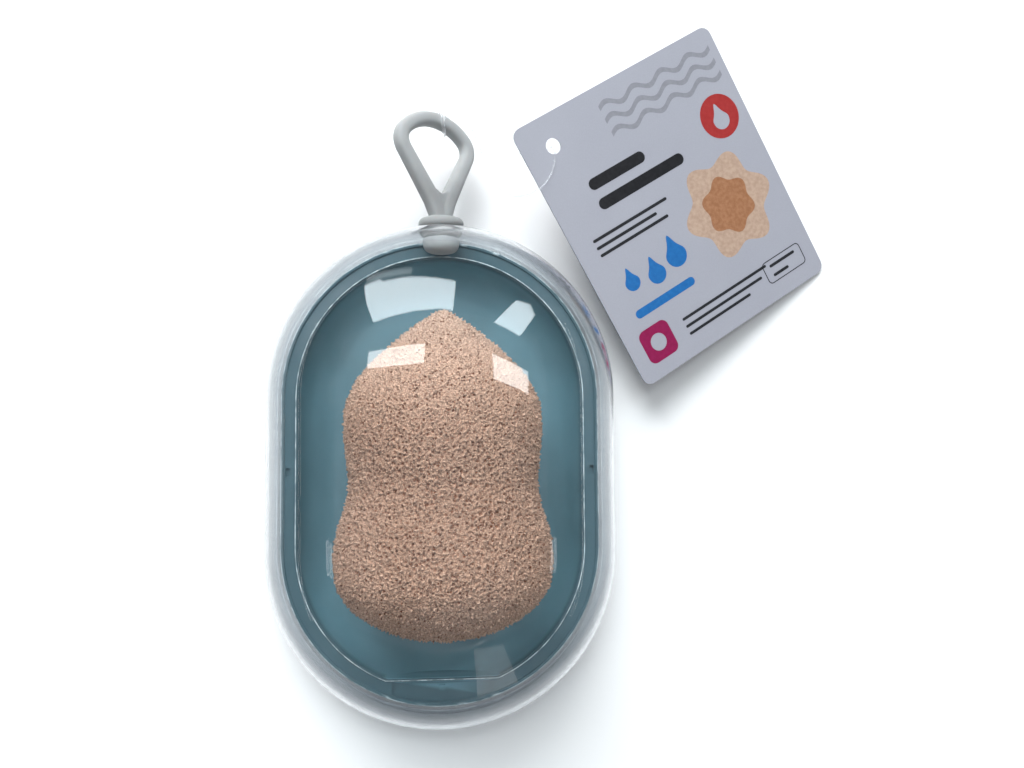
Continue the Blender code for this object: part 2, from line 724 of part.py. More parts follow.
def loop_points():
    """Route of the nylon loop from one end of its lock round to the other."""
    tip = LOCK_LENGTH / 2.0 - LOCK_BORE_DEPTH + GAP
    mouth = LOCK_LENGTH / 2.0 + LOCK_STRAIGHT
    over = [Vector(point) * MM for point in ROUTE_OVER_CARD]
    under = [Vector(point) * MM for point in ROUTE_UNDER_CARD]
    near = [LOCK_CENTRE + LOCK_AXIS * tip, LOCK_CENTRE + LOCK_AXIS * mouth]
    far = [LOCK_CENTRE - LOCK_AXIS * mouth, LOCK_CENTRE - LOCK_AXIS * tip]
    route = near + over + wrap_points()[::-1] + under + far
    return even_points(smooth_line(route, LOOP_SPAN_STEPS), LOOP_SPACING)


def least_gap(points, radius):
    """Least gap of a tube to itself, between points over a few diameters apart along it."""
    apart = math.ceil(2.0 * math.pi * radius / LOOP_SPACING) + 3
    gaps = []
    for index, point in enumerate(points):
        gaps += [(other - point).length - 2.0 * radius for other in points[index + apart:]]
    return min(gaps)


def build_loop(parts):
    """Nylon loop and the small lock that joins its ends."""
    points = loop_points()
    loop = tube_curve("tag_loop", points, FILAMENT_RADIUS, parts)
    nylon = make_material("clear_nylon", (0.90, 0.92, 0.94), 0.15, 0.8)
    loop.data.materials.append(nylon)
    print("Least gap of the loop to itself, mm:", round(least_gap(points, FILAMENT_RADIUS) / MM, 2))

    bore = FILAMENT_RADIUS + GAP
    half = LOCK_LENGTH / 2.0
    floor = half - LOCK_BORE_DEPTH
    upper = [(0.0, floor, 0.0), (bore, floor, 0.0), (bore, half, 0.0), (LOCK_RADIUS, half, LOCK_EDGE_FILLET)]
    lower = [(across, -up, fillet) for across, up, fillet in reversed(upper)]
    lock = turned("loop_lock", round_corners(upper + lower), LOCK_TURN_STEPS, parts)
    lock.location = LOCK_CENTRE
    lock.rotation_euler = LOCK_AXIS.to_track_quat("Z", "Y").to_euler()
    lock.data.materials.append(nylon)


def build():
    """Clear the scene and make every part."""
    for item in list(bpy.data.objects):
        bpy.data.objects.remove(item, do_unlink=True)
    parts = bpy.data.collections.new("facial_cleansing_puff")
    cutters = bpy.data.collections.new("cutters")
    for collection in (parts, cutters):
        bpy.context.scene.collection.children.link(collection)
    build_tray(parts, cutters)
    build_lid(parts, cutters)
    build_strap(parts, cutters)
    build_puff(parts, cutters)
    build_tag(parts)
    build_loop(parts)


build()
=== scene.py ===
"""Looks of the facial cleansing puff in its clear travel case, with its strap and card tag."""

import math
from itertools import product

import bmesh
import bpy
import numpy as np
from mathutils import Euler, Matrix, Vector, noise
from mathutils.geometry import tessellate_polygon
from mathutils.kdtree import KDTree


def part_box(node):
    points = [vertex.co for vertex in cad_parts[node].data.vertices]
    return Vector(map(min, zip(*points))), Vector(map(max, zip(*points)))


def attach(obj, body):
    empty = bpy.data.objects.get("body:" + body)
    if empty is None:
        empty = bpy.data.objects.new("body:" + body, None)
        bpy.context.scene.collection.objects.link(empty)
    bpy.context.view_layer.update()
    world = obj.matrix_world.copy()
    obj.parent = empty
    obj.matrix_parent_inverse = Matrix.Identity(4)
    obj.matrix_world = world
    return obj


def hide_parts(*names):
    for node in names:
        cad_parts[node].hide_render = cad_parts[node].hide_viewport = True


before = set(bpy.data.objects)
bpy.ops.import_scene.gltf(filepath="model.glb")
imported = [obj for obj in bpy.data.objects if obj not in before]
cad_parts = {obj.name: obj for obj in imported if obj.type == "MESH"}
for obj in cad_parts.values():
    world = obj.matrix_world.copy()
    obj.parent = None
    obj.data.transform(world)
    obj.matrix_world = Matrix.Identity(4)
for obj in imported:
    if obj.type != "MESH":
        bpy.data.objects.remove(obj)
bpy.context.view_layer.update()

MM = 0.001
GAP = 0.3 * MM
QUARTER = math.pi / 2.0
FULL_TURN = 2.0 * math.pi
MERGE = 0.001 * MM
FACING_UP = 0.1
SHARP = math.radians(35.0)
LID_SHARP = math.radians(50.0)

# Camera: fitted to the photograph's case, strap ring and card
CAMERA_PLACE = Vector((-4.6, 8.9, 283.8)) * MM
CAMERA_TURN = (math.radians(3.35), math.radians(-5.21), math.radians(-0.45))
CAMERA_LENS = 33.4
CAMERA_SENSOR = 36.0
CAMERA_NEAREST = 10.0 * MM

# Tray: the source's sizes
STRAIGHT_HALF = 20.5 * MM
RIM_RADIUS = 45.5 * MM
TRAY_MOUTH_RADIUS = 40.3 * MM
TRAY_WALL = 1.6 * MM
TRAY_WALL_DRAFT = 2.2 * MM
TRAY_BOWL_FILLET = 10.0 * MM
FLANGE_TOP = 12.5 * MM
FLANGE_THICKNESS = 1.5 * MM
RIM_WALL = 1.4 * MM
RIM_EDGE_FILLET = 0.3 * MM
RIM_BEAD_WIDTH = 1.1 * MM
RIM_BEAD_HEIGHT = 0.5 * MM
RIM_BEAD_FILLET = 0.24 * MM
LEDGE_TOP = 7.4 * MM
LEDGE_THICKNESS = 1.3 * MM
LEDGE_LIP_DROP = 2.4 * MM
LEDGE_LIP_WIDTH = 1.3 * MM
LIP_INSET = 0.2 * MM
LIP_WIDTH = 0.8 * MM
LIP_HEIGHT = 0.5 * MM
LIP_ROOT = 0.6 * MM
LIP_CREST_SHARE = 0.95
CHORD_HALF_WIDTH = 15.7 * MM
SHELF_FOOT = 4.6 * MM
RECESS_HALF_WIDTH = 14.0 * MM
RECESS_DEPTH = 0.7 * MM
RECESS_MARGIN = 0.2 * MM
NUB_SIZE = 1.8 * MM
NUB_INSET = 1.0 * MM
NUB_CORNER = 0.3 * MM
DIMPLE_LENGTH = 2.6 * MM
DIMPLE_WIDTH = 1.3 * MM
DIMPLE_DEPTH = 0.8 * MM
DIMPLE_INSET = 2.2 * MM
OVERRUN = 3.0 * MM
SEAM = 0.01 * MM
TRAY_PAINTED_LIGHT_REACH = 66.0 * MM
TRAY_FILLET_STEPS = 14
TRAY_ARC_STEPS = 72
TRAY_STRAIGHT_STEPS = 6
MOUTH_STEPS = 48
LIP_STEPS = 24
SHELF_STEPS = 40
RECESS_STEPS = 60

# Lid: the source's sizes
LID_WALL = 1.0 * MM
LID_FLARE = 0.3 * MM
LID_SHOULDER = 24.0 * MM
LID_EDGE_FILLET = 0.3 * MM
LID_PAINTED_SHADE_REACH = 70.0 * MM
DOME_POWER = 2.6
DOME_STEPS = 44
LID_EDGE_STEPS = 5
LID_ARC_STEPS = 88
LID_STRAIGHT_STEPS = 14
HOLE_SIDES = 64
LID_FOOT, LID_TOP = (corner[2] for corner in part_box("case_lid"))
LID_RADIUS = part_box("case_lid")[1][0]

# Strap: the source's sizes
STEM_RADIUS = 2.85 * MM
DISC_RADIUS = 6.4 * MM
DISC_THICKNESS = 3.2 * MM
DISC_EDGE_FILLET = 1.55 * MM
HEAD_RADIUS = 5.3 * MM
STRAP_HEIGHT = FLANGE_TOP + RIM_BEAD_HEIGHT + GAP + HEAD_RADIUS
HEAD_LENGTH = 4.3 * MM
HEAD_TAPER = 0.5 * MM
HEAD_FILLET = 2.2 * MM
HEAD_EDGE_FILLET = 0.6 * MM
BAR_RADIUS = 2.05 * MM
BAR_SQUARENESS = 2.7
RING_REACH = 29.5 * MM
RING_TOP_RADIUS = 13.9 * MM
RING_CORNER_RADIUS = 5.0 * MM
RING_TOP_ANGLE = math.radians(47.0)
RING_LEG_ANGLE = math.radians(32.0)
RING_LEG_FOOT = 5.6 * MM
RING_TWIST = math.radians(35.0)
RING_LEAN = math.radians(5.3)
RING_DROOP = math.radians(8.4)
NECK_ROOT = 0.6 * MM
NECK_ROOT_RADIUS = 2.8 * MM
NECK_THICKNESS = 3.5 * MM
CROTCH_RADIUS = 1.7 * MM
LEG_FLARE = 0.45 * MM
LEG_FLARE_HEIGHT = 9.0 * MM
STRAP_VOXEL = 0.24 * MM
STRAP_SMOOTHING = 12
STRAP_PAINTED_SHADE_ENDS = (60.0 * MM, 105.0 * MM)
PLUG_FILLET_STEPS = 8
PLUG_SIDES = 96
RING_TOP_STEPS = 24
RING_CORNER_STEPS = 30
CROTCH_STEPS = 12
BAR_SIDES = 48

# Nylon loop: the source's route
FILAMENT_RADIUS = 0.25 * MM
WRAP_ANGLE = math.radians(16.0)
WRAP_PITCH = 1.06 * MM
WRAP_SPREAD_SHARE = 0.30
WRAP_SLACK = 0.12 * MM
WRAP_TURNS = 2
WRAP_TURN_POINTS = 8
LOOP_SPAN_STEPS = 10
TUBE_FINENESS = 3
LOCK_LENGTH = 4.4 * MM
LOCK_BORE_DEPTH = 1.4 * MM
LOCK_STRAIGHT = 0.7 * MM
LOCK_CENTRE = Vector((26.0, 90.4, 17.6)) * MM
LOCK_AXIS = Vector((0.86, -0.08, 0.50)).normalized()
ROUTE_OVER_CARD = (
    (30.2, 90.5, 21.2),
    (30.9, 90.4, 23.96),
    (31.5, 89.3, 25.2),
    (31.6, 86.4, 24.8),
    (30.7, 83.0, 24.7),
    (27.9, 78.9, 25.0),
    (23.8, 76.4, 24.8),
    (18.8, 77.0, 22.8),
    (14.9, 81.0, 21.0),
    (12.2, 87.5, 19.8),
    (9.6, 94.6, 18.9),
    (6.6, 100.6, 17.4),
)
ROUTE_UNDER_CARD = (
    (-0.6, 104.3, 9.2),
    (2.6, 104.6, 6.2),
    (7.6, 102.2, 6.0),
    (13.0, 97.6, 8.8),
    (18.2, 93.2, 12.8),
)

# Puff: the source's section and place
PUFF_LENGTH = 90.0 * MM
PUFF_WIDTH = 59.0 * MM
PUFF_THICKNESS = 44.0 * MM
PUFF_TIP_Y = 45.0 * MM
PUFF_CENTRE_X = 0.4 * MM
PUFF_SINK = 0.8 * MM
PUFF_PITCH = math.radians(3.0)
PUFF_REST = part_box("cleansing_puff")[0][2]
PUFF_TURN_STEPS = 120
PUFF_SPAN_STEPS = 6
PUFF_BELLY_SHARE = 0.77
PUFF_PROFILE_SHARES = (
    (0.0, 0.0),
    (0.014, 0.088),
    (0.05, 0.244),
    (0.10, 0.436),
    (0.17, 0.664),
    (0.24, 0.83),
    (0.31, 0.905),
    (0.38, 0.915),
    (0.46, 0.89),
    (0.54, 0.868),
    (0.61, 0.905),
    (0.69, 0.98),
    (0.77, 1.0),
    (0.84, 0.965),
    (0.90, 0.84),
    (0.955, 0.59),
    (0.988, 0.31),
    (1.0, 0.0),
)

# Foam
FOAM_SEED = 7
FOAM_SMOOTHING = 3
FOAM_VOXEL = 0.24 * MM
FOAM_INSET = 0.15 * MM
PORE_SPACING = 0.98 * MM
PORE_RADIUS = 0.46 * MM
PORE_DEPTH = 0.60 * MM
FOAM_RAGGED = 0.09 * MM
FOAM_TUFT = 0.85 * MM
TUFT_SPACING = 0.52 * MM
TUFT_START, TUFT_SPAN = 0.05, 0.60
WAIST_Y = -8.0 * MM
WAIST_REACH = 27.0 * MM
TIP_PORE_SHARE = 0.62
WAIST_PORE_SHARE = 0.60
PORE_JITTER = 0.10 * MM
PORE_SIZE_SHARES = (0.55, 1.25)
PORE_DEPTH_SHARES = (0.45, 1.15)
RAGGED_LIMITS = (-1.5, 2.0)
TUFT_POWER = 1.4
FLAT_SHARE = 0.3

# Card tag: the source's thickness and place
TAG_THICKNESS = 0.5 * MM
TAG_CENTRE = Vector((69.1, 77.1, 13.65)) * MM
TAG_PITCH = math.radians(11.1)
TAG_ROLL = math.radians(8.9)
TAG_HEADING = math.radians(32.3)
PRINT_LIFT = 0.012 * MM

# Print: inks from dark to light, and places on the card in mm from its centre
INKS = {
    "magenta": ((0.235, 0.004, 0.060), (0.270, 0.006, 0.072)),
    "grey": ((0.235, 0.240, 0.270), (0.265, 0.270, 0.300)),
    "black": ((0.006, 0.006, 0.008), (0.012, 0.012, 0.015)),
    "blue": ((0.010, 0.120, 0.360), (0.014, 0.145, 0.410)),
    "red": ((0.330, 0.022, 0.022), (0.370, 0.030, 0.028)),
    "peach": ((0.420, 0.290, 0.215), (0.500, 0.360, 0.275)),
    "tan": ((0.300, 0.130, 0.060), (0.380, 0.185, 0.095)),
}
CORNER_STEPS = 6
DISC_SIDES = 48
DROP_SIDES = 40
DROP_WAIST = 0.35
DROP_TIP = 0.85
DROP_TIP_POWER = 7
FLOWER_SIDES = 120
WAVE_STEPS = 60
PETALS = 6
BADGE = (-25.5, -31.5)
FLOWER = (15.5, -8.0)
STAMP = (23.5, -32.5)
SPOT = (26.0, 16.0)

# Floor and panes of the room, in metres, with their glow
FLOOR_HALF = 4.0
FLOOR_TOP = -0.05 * MM
PANEL_HEIGHT = 1.25
WINDOW_HEIGHT = 1.4
PANEL_LEFT = ((-0.473, 0.355), (-0.068, 0.325), (-0.058, 0.204), (-0.458, 0.235))
PANEL_RIGHT = ((0.290, 0.296), (0.611, 0.229), (0.592, 0.084), (0.271, 0.149))
WINDOW_LEFT = (
    (-1.28, 1.98), (-0.95, 1.92), (-0.80, 1.72), (-0.45, 1.62), (-0.15, 1.48), (0.17, 1.33),
    (0.142, 1.067), (0.100, 0.707), (0.003, 0.731), (-0.580, 0.715), (-0.85, 1.15),
)
WINDOW_RIGHT = ((0.93, 1.25), (1.25, 1.36), (1.20, 1.10), (0.683, 0.575), (0.42, 0.64))
WINDOW_ABOVE = ((-1.60, 2.75), (-0.42, 2.10), (-0.38, 1.70), (-1.27, 2.05))
DOOR = ((0.22, -1.0, 0.35), (0.52, -1.0, 0.30), (0.56, -1.0, 1.35), (0.28, -1.0, 1.45))
STRIP_PLACES = (1.07, 1.16)
STRIP_WIDTH = 0.03
STRIP_ENDS = (-0.20, -0.40)
RAIL_FOOT = (1.54, 0.70)
RAIL_TOP = (1.60, 0.74)
PANEL_GLOW = 6.4
WINDOW_GLOW = 7.6
WINDOW_ABOVE_GLOW = 2.0
DOOR_GLOW = 0.9
STRIP_GLOW = 5.0
SKY = (0.87, 0.96, 1.0)
WHITE = (1.0, 1.0, 1.0)
FILL_PLACE = (-0.30, 1.45, 1.10)
FILL_SIZE = (1.3, 0.9)
FILL_GLOW = 10.4
SURROUND = 0.9


# Objects and camera


def new_object(name, data):
    """Object that shows this data in the scene."""
    item = bpy.data.objects.new(name, data)
    bpy.context.scene.collection.objects.link(item)
    return item


def add_camera():
    """Camera at the photograph's place."""
    data = bpy.data.cameras.new("photo_camera")
    data.lens = CAMERA_LENS
    data.sensor_width = CAMERA_SENSOR
    data.clip_start = CAMERA_NEAREST
    camera = new_object("photo_camera", data)
    camera.location = CAMERA_PLACE
    camera.rotation_euler = Euler(CAMERA_TURN)
    bpy.context.scene.camera = camera


# Node helpers


class Nodes:
    """Short way to write the nodes of a material or of the world."""

    def __init__(self, owner, place="Object"):
        owner.use_nodes = True
        self.owner = owner
        self.tree = owner.node_tree
        self.place = self.node("TexCoord").outputs[place]

    def put(self, socket, value):
        """Set an input to a constant, or join an output to it."""
        if isinstance(value, bpy.types.NodeSocket):
            self.tree.links.new(value, socket)
        elif socket.type == "RGBA":
            socket.default_value = (*value, 1.0)
        else:
            socket.default_value = value

    def node(self, kind, **inputs):
        """New shader node with values or outputs on its inputs."""
        node = self.tree.nodes.new("ShaderNode" + kind)
        for name, value in inputs.items():
            self.put(node.inputs[name.replace("_", " ")], value)
        return node

    def set(self, **inputs):
        """Values or outputs on the shader's own inputs."""
        nodes = self.tree.nodes
        shader = nodes.get("Principled BSDF") or nodes["Background"]
        for name, value in inputs.items():
            self.put(shader.inputs[name.replace("_", " ")], value)

    def noise(self, scale, detail=3.0, roughness=0.5):
        node = self.node("TexNoise", Vector=self.place, Scale=scale, Detail=detail, Roughness=roughness)
        return node.outputs["Fac"]

    def cells(self, scale, place=None):
        node = self.node("TexVoronoi", Vector=place or self.place, Scale=scale)
        return node.outputs["Distance"]

    def ramp(self, source, stops):
        """Colours or greys between places on a line."""
        node = self.node("ValToRGB", Fac=source)
        line = node.color_ramp.elements
        while len(line) < len(stops):
            line.new(0.5)
        for element, (place, colour) in zip(line, stops):
            element.position = place
            grey = (colour, colour, colour) if isinstance(colour, float) else colour
            element.color = (*grey, 1.0)
        return node.outputs["Color"]

    def uneven(self, scale, low, high, detail=3.0):
        """Colour or grey that wanders between two with a noise."""
        return self.ramp(self.noise(scale, detail), ((0.3, low), (0.7, high)))

    def math(self, operation, *values):
        node = self.node("Math")
        node.operation = operation
        for socket, value in zip(node.inputs, values):
            self.put(socket, value)
        return node.outputs["Value"]

    def mix(self, factor, first, second, blend="MIX"):
        node = self.node("Mix")
        node.data_type = "RGBA"
        node.blend_type = blend
        for index, value in ((0, factor), (6, first), (7, second)):
            self.put(node.inputs[index], value)
        return node.outputs[2]

    def tinted(self, colour, by):
        """One colour multiplied by another."""
        return self.mix(1.0, colour, by, blend="MULTIPLY")

    def warp(self, scale, amount):
        """Object coordinates pushed about by a noise, for uneven cells."""
        push = self.node("TexNoise", Vector=self.place, Scale=scale)
        shift = self.node("VectorMath")
        shift.operation = "MULTIPLY_ADD"
        for socket, value in zip(shift.inputs, (push.outputs["Color"], (amount,) * 3, self.place)):
            self.put(socket, value)
        return shift.outputs["Vector"]

    def attribute(self, name):
        node = self.node("Attribute")
        node.attribute_name = name
        return node.outputs["Fac"]

    def height(self, axis, low, high):
        """Share of the way between two places on one axis of the object."""
        split = self.node("SeparateXYZ", Vector=self.place)
        span = self.node("MapRange", Value=split.outputs[axis], From_Min=low, From_Max=high)
        return span.outputs["Result"]

    def facing(self):
        """How far the surface turns away from the line of sight."""
        return self.node("LayerWeight", Blend=0.5).outputs["Facing"]

    def bump(self, height, distance, strength=1.0, after=None):
        node = self.node("Bump", Height=height, Distance=distance, Strength=strength)
        if after is not None:
            self.put(node.inputs["Normal"], after)
        return node.outputs["Normal"]

    def light_passes(self, tint):
        """Lamps shine through the clear shader with a tint."""
        through = self.node("BsdfTransparent", Color=tint)
        path = self.node("LightPath")
        mix = self.node("MixShader", Fac=path.outputs["Is Shadow Ray"])
        self.put(mix.inputs[1], self.tree.nodes["Principled BSDF"].outputs["BSDF"])
        self.put(mix.inputs[2], through.outputs["BSDF"])
        self.put(self.tree.nodes["Material Output"].inputs["Surface"], mix.outputs["Shader"])


def material_nodes(name):
    """Nodes of a new material."""
    return Nodes(bpy.data.materials.new(name))


# Materials


def tray_material():
    """Grey-blue moulded polypropylene with a satin skin; painted light makes the tray's inside paler, most
    at its ends, and a painted highlight runs along the crests of the lip and bead.
    """
    nodes = material_nodes("tray_satin")
    # Painted light: the tray's inside gets a paler blue than the flange and the outside, lighter still
    # towards both ends, where it lies in shade.
    ends = nodes.ramp(nodes.height("Y", -TRAY_PAINTED_LIGHT_REACH, TRAY_PAINTED_LIGHT_REACH), (
        (0.0, 1.40), (0.22, 1.20), (0.36, 1.0), (0.74, 1.0), (0.92, 1.50),
    ))
    bowl_painted_light = nodes.tinted((0.099, 0.198, 0.240), ends)
    tint = nodes.mix(nodes.attribute("bowl_painted_light"), (0.068, 0.124, 0.150), bowl_painted_light)
    tint = nodes.tinted(tint, nodes.uneven(60.0, 0.92, 1.06, detail=4.0))
    # Painted highlight: a pale line along the crests of the lip and bead, broken up by a noise, stands in
    # for the thin line of light they catch.
    broken_highlight = nodes.ramp(nodes.noise(420.0, detail=2.0), ((0.38, 0.25), (0.58, 1.0)))
    edge = nodes.math("MULTIPLY", nodes.attribute("edge"), broken_highlight)
    grain = nodes.bump(nodes.noise(5200.0, detail=2.0), 0.010 * MM, 0.4)
    nodes.set(
        Base_Color=nodes.mix(edge, tint, (0.62, 0.72, 0.76)),
        Roughness=nodes.uneven(240.0, 0.16, 0.24),
        Normal=nodes.bump(nodes.noise(90.0, detail=1.0), 0.10 * MM, 0.35, after=grain),
        IOR=1.49,
    )
    return nodes.owner


def lid_material():
    """Clear moulded plastic with faint flow lines, and painted shade: grey bands and a dark outline where
    one looks along the wall, greyer towards the thumb end.
    """
    nodes = material_nodes("lid_clear")
    # Painted shade: the wall seen at a slant is greyer towards the thumb end, for the shadowed floor seen
    # through it.
    along = nodes.ramp(nodes.height("Y", -LID_PAINTED_SHADE_REACH, LID_PAINTED_SHADE_REACH), (
        (0.0, (0.66, 0.68, 0.71)),
        (0.22, (0.84, 0.86, 0.88)),
        (0.55, (0.98, 0.99, 1.0)),
        (1.0, (0.95, 0.98, 1.0)),
    ))
    # Painted shade: grey bands where one looks along the wall, and a dark line at the outline.
    facing = nodes.facing()
    painted_shade_bands = nodes.ramp(facing, (
        (0.335, (0.985, 0.993, 0.995)),
        (0.385, (0.50, 0.53, 0.56)),
        (0.465, (0.54, 0.57, 0.60)),
        (0.51, (0.66, 0.66, 0.67)),
        (0.68, (0.66, 0.66, 0.67)),
        (0.74, (0.50, 0.50, 0.53)),
        (0.78, (0.74, 0.75, 0.76)),
        (0.86, (0.74, 0.75, 0.76)),
        (1.0, (0.16, 0.18, 0.22)),
    ))
    outer = nodes.ramp(facing, ((0.30, 0.0), (0.46, 1.0)))
    rubbed = nodes.noise(170.0, detail=5.0, roughness=0.65)
    nodes.set(
        Base_Color=nodes.tinted(painted_shade_bands, nodes.mix(outer, WHITE, along)),
        Roughness=nodes.ramp(rubbed, ((0.55, 0.003), (0.80, 0.04))),
        Normal=nodes.bump(nodes.noise(26.0, detail=1.0), 0.12 * MM, 0.3),
        IOR=1.5,
        Transmission_Weight=1.0,
    )
    nodes.light_passes((0.965, 0.978, 0.982))
    return nodes.owner


def strap_material():
    """Soft grey elastomer, matt, with a little dust, and painted shade that darkens the disc and neck, the
    head a little lighter.
    """
    nodes = material_nodes("strap_elastomer")
    tint = nodes.uneven(150.0, (0.345, 0.355, 0.358), (0.378, 0.387, 0.388), detail=4.0)
    # Painted shade: the disc and neck darker, and the head a little lighter, along the strap.
    neck_painted_shade = nodes.ramp(nodes.height("Y", *STRAP_PAINTED_SHADE_ENDS), (
        (0.0, 1.08), (0.12, 1.04), (0.19, 0.78), (0.40, 0.76), (0.62, 1.0),
    ))
    tint = nodes.tinted(tint, neck_painted_shade)
    dust = nodes.ramp(nodes.cells(900.0), ((0.0, 1.0), (0.10, 0.0)))
    nodes.set(
        Base_Color=nodes.mix(nodes.math("MULTIPLY", dust, 0.25), tint, (0.50, 0.51, 0.50)),
        Roughness=nodes.uneven(700.0, 0.50, 0.62),
        Normal=nodes.bump(nodes.noise(4200.0, detail=2.0), 0.012 * MM, 0.6),
        Sheen_Weight=0.08,
        Subsurface_Weight=0.08,
        Subsurface_Scale=0.6 * MM,
    )
    return nodes.owner


def foam_material():
    """Peach open-cell foam: pale struts and tufts, brown cells of two sizes, and the modelled pores, with
    painted shade deep in the pores and painted light and shade along the puff.
    """
    nodes = material_nodes("foam_peach")
    warped = nodes.warp(900.0, 0.35 * MM)
    cell = nodes.ramp(nodes.cells(900.0, place=warped), ((0.20, 1.0), (0.36, 0.0)))
    speck = nodes.ramp(nodes.cells(1900.0, place=warped), ((0.16, 1.0), (0.40, 0.0)))
    choice = nodes.ramp(nodes.noise(520.0, detail=2.0), ((0.46, 0.22), (0.58, 1.0)))
    body = nodes.uneven(70.0, (0.510, 0.312, 0.218), (0.580, 0.362, 0.258), detail=4.0)
    # Painted light and shade: darker at the low end and over the waist, lighter and cooler towards the tip.
    along = nodes.ramp(nodes.height("Y", -PUFF_TIP_Y, PUFF_TIP_Y), (
        (0.0, 0.88), (0.20, 0.82), (0.36, 0.72), (0.48, 0.72), (0.64, (0.86, 0.87, 0.88)),
        (0.80, (0.93, 0.98, 1.02)), (1.0, (0.90, 1.02, 1.12)),
    ))
    strut = nodes.ramp(nodes.noise(2600.0, roughness=0.75), ((0.38, 0.60), (0.62, 1.50)))
    pale = nodes.tinted(nodes.tinted(body, along), strut)
    tuft = nodes.math("MULTIPLY", nodes.attribute("tuft"), 0.40)
    pale = nodes.mix(tuft, pale, (0.70, 0.50, 0.39))
    small = nodes.mix(nodes.math("MULTIPLY", speck, 0.46), pale, (0.260, 0.096, 0.040))
    brown = nodes.math("MULTIPLY", nodes.math("MULTIPLY", cell, choice), 0.94)
    cells = nodes.mix(brown, small, (0.165, 0.042, 0.010))
    # Painted shade: the deeper a vertex lies in a modelled pore, the darker it is painted.
    pore_painted_shade = nodes.ramp(nodes.attribute("pore"), ((0.25, 0.0), (0.85, 1.0)))
    pits = nodes.bump(nodes.math("SUBTRACT", 1.0, cell), 0.30 * MM)
    skin = nodes.bump(nodes.math("SUBTRACT", 1.0, speck), 0.14 * MM, after=pits)
    nodes.set(
        Base_Color=nodes.mix(nodes.math("MULTIPLY", pore_painted_shade, 0.66), cells, (0.190, 0.050, 0.014)),
        Roughness=nodes.uneven(900.0, 0.86, 0.98),
        Normal=nodes.bump(nodes.noise(3000.0, detail=2.0, roughness=0.7), 0.16 * MM, after=skin),
        Specular_IOR_Level=0.15,
        Sheen_Weight=0.06,
        Sheen_Roughness=0.5,
    )
    return nodes.owner


def card_material():
    """Coated grey-lilac card."""
    nodes = material_nodes("card_coated")
    tint = nodes.uneven(45.0, (0.362, 0.368, 0.420), (0.378, 0.384, 0.436))
    fibre = nodes.ramp(nodes.noise(2600.0, detail=4.0), ((0.35, 0.96), (0.65, 1.0)))
    wave = nodes.bump(nodes.noise(38.0, detail=1.0), 0.10 * MM, 0.30)
    nodes.set(
        Base_Color=nodes.tinted(tint, fibre),
        Roughness=nodes.uneven(320.0, 0.30, 0.38),
        Normal=nodes.bump(nodes.noise(3000.0), 0.004 * MM, 0.5, after=wave),
    )
    return nodes.owner


def ink_material(ink):
    """Printed ink, a little uneven."""
    dark, light = INKS[ink]
    nodes = material_nodes("ink_" + ink)
    tint = nodes.ramp(nodes.noise(900.0, detail=4.0), ((0.35, dark), (0.65, light)))
    nodes.set(Base_Color=tint, Roughness=nodes.uneven(320.0, 0.28, 0.36))
    return nodes.owner


def nylon_material():
    """Clear nylon, slightly cloudy."""
    nodes = material_nodes("nylon_clear")
    cloud = nodes.uneven(1800.0, 0.05, 0.16)
    nodes.set(Base_Color=(0.95, 0.96, 0.97), Roughness=cloud, IOR=1.53, Transmission_Weight=0.92)
    nodes.light_passes((0.9, 0.9, 0.9))
    return nodes.owner


# Mesh helpers


def add_mesh(name, vertices, faces):
    """Smooth-shaded mesh object with its sharp edges kept."""
    mesh = bpy.data.meshes.new(name)
    mesh.from_pydata(vertices, [], faces)
    mesh.validate()
    item = new_object(name, mesh)
    mesh.shade_smooth()
    mesh.set_sharp_from_angle(angle=SHARP)
    return item


def add_closed(name, vertices, faces):
    """Closed mesh object: its seams welded, and all its faces made to look outwards."""
    item = add_mesh(name, vertices, faces)
    bm = bmesh.new()
    bm.from_mesh(item.data)
    bmesh.ops.remove_doubles(bm, verts=bm.verts, dist=MERGE)
    bmesh.ops.recalc_face_normals(bm, faces=bm.faces)
    bm.to_mesh(item.data)
    bm.free()
    return item


def apply_modifiers(item):
    """Put the modifiers' result into the object's own mesh."""
    graph = bpy.context.evaluated_depsgraph_get()
    mesh = bpy.data.meshes.new_from_object(item.evaluated_get(graph))
    item.modifiers.clear()
    old = item.data
    item.data = mesh
    bpy.data.meshes.remove(old)


def bake_place(item):
    """Put the object's transform into its vertices."""
    bpy.context.view_layer.update()
    item.data.transform(item.matrix_world)
    item.matrix_world = Matrix()


def join_to(target, others):
    """Add the meshes of other objects to the target's, and drop them."""
    bm = bmesh.new()
    for item in (target, *others):
        bm.from_mesh(item.data)
    bm.to_mesh(target.data)
    bm.free()
    for item in others:
        bpy.data.objects.remove(item, do_unlink=True)


def melt(item, voxel, smoothing):
    """Remesh a piece in voxels and let its surface settle."""
    remesh = item.modifiers.new("Melt", "REMESH")
    remesh.mode = "VOXEL"
    remesh.voxel_size = voxel
    settle = item.modifiers.new("Settle", "SMOOTH")
    settle.factor = 0.5
    settle.iterations = smoothing
    apply_modifiers(item)


def cut_or_add(target, tool, operation):
    """Exact boolean of an object with a helper, which goes afterwards."""
    change = target.modifiers.new(tool.name, "BOOLEAN")
    change.operation = operation
    change.object = tool
    change.solver = "EXACT"
    apply_modifiers(target)
    bpy.data.objects.remove(tool, do_unlink=True)


def places_and_normals(mesh):
    """Place and normal of each vertex, as rows."""
    tables = []
    for source, field in ((mesh.vertices, "co"), (mesh.vertex_normals, "vector")):
        values = np.empty(len(mesh.vertices) * 3)
        source.foreach_get(field, values)
        tables.append(values.reshape(-1, 3))
    return tables


def mark(mesh, name, values):
    """Keep a number at each vertex for the material."""
    layer = mesh.attributes.new(name, "FLOAT", "POINT")
    layer.data.foreach_set("value", values.astype(float))


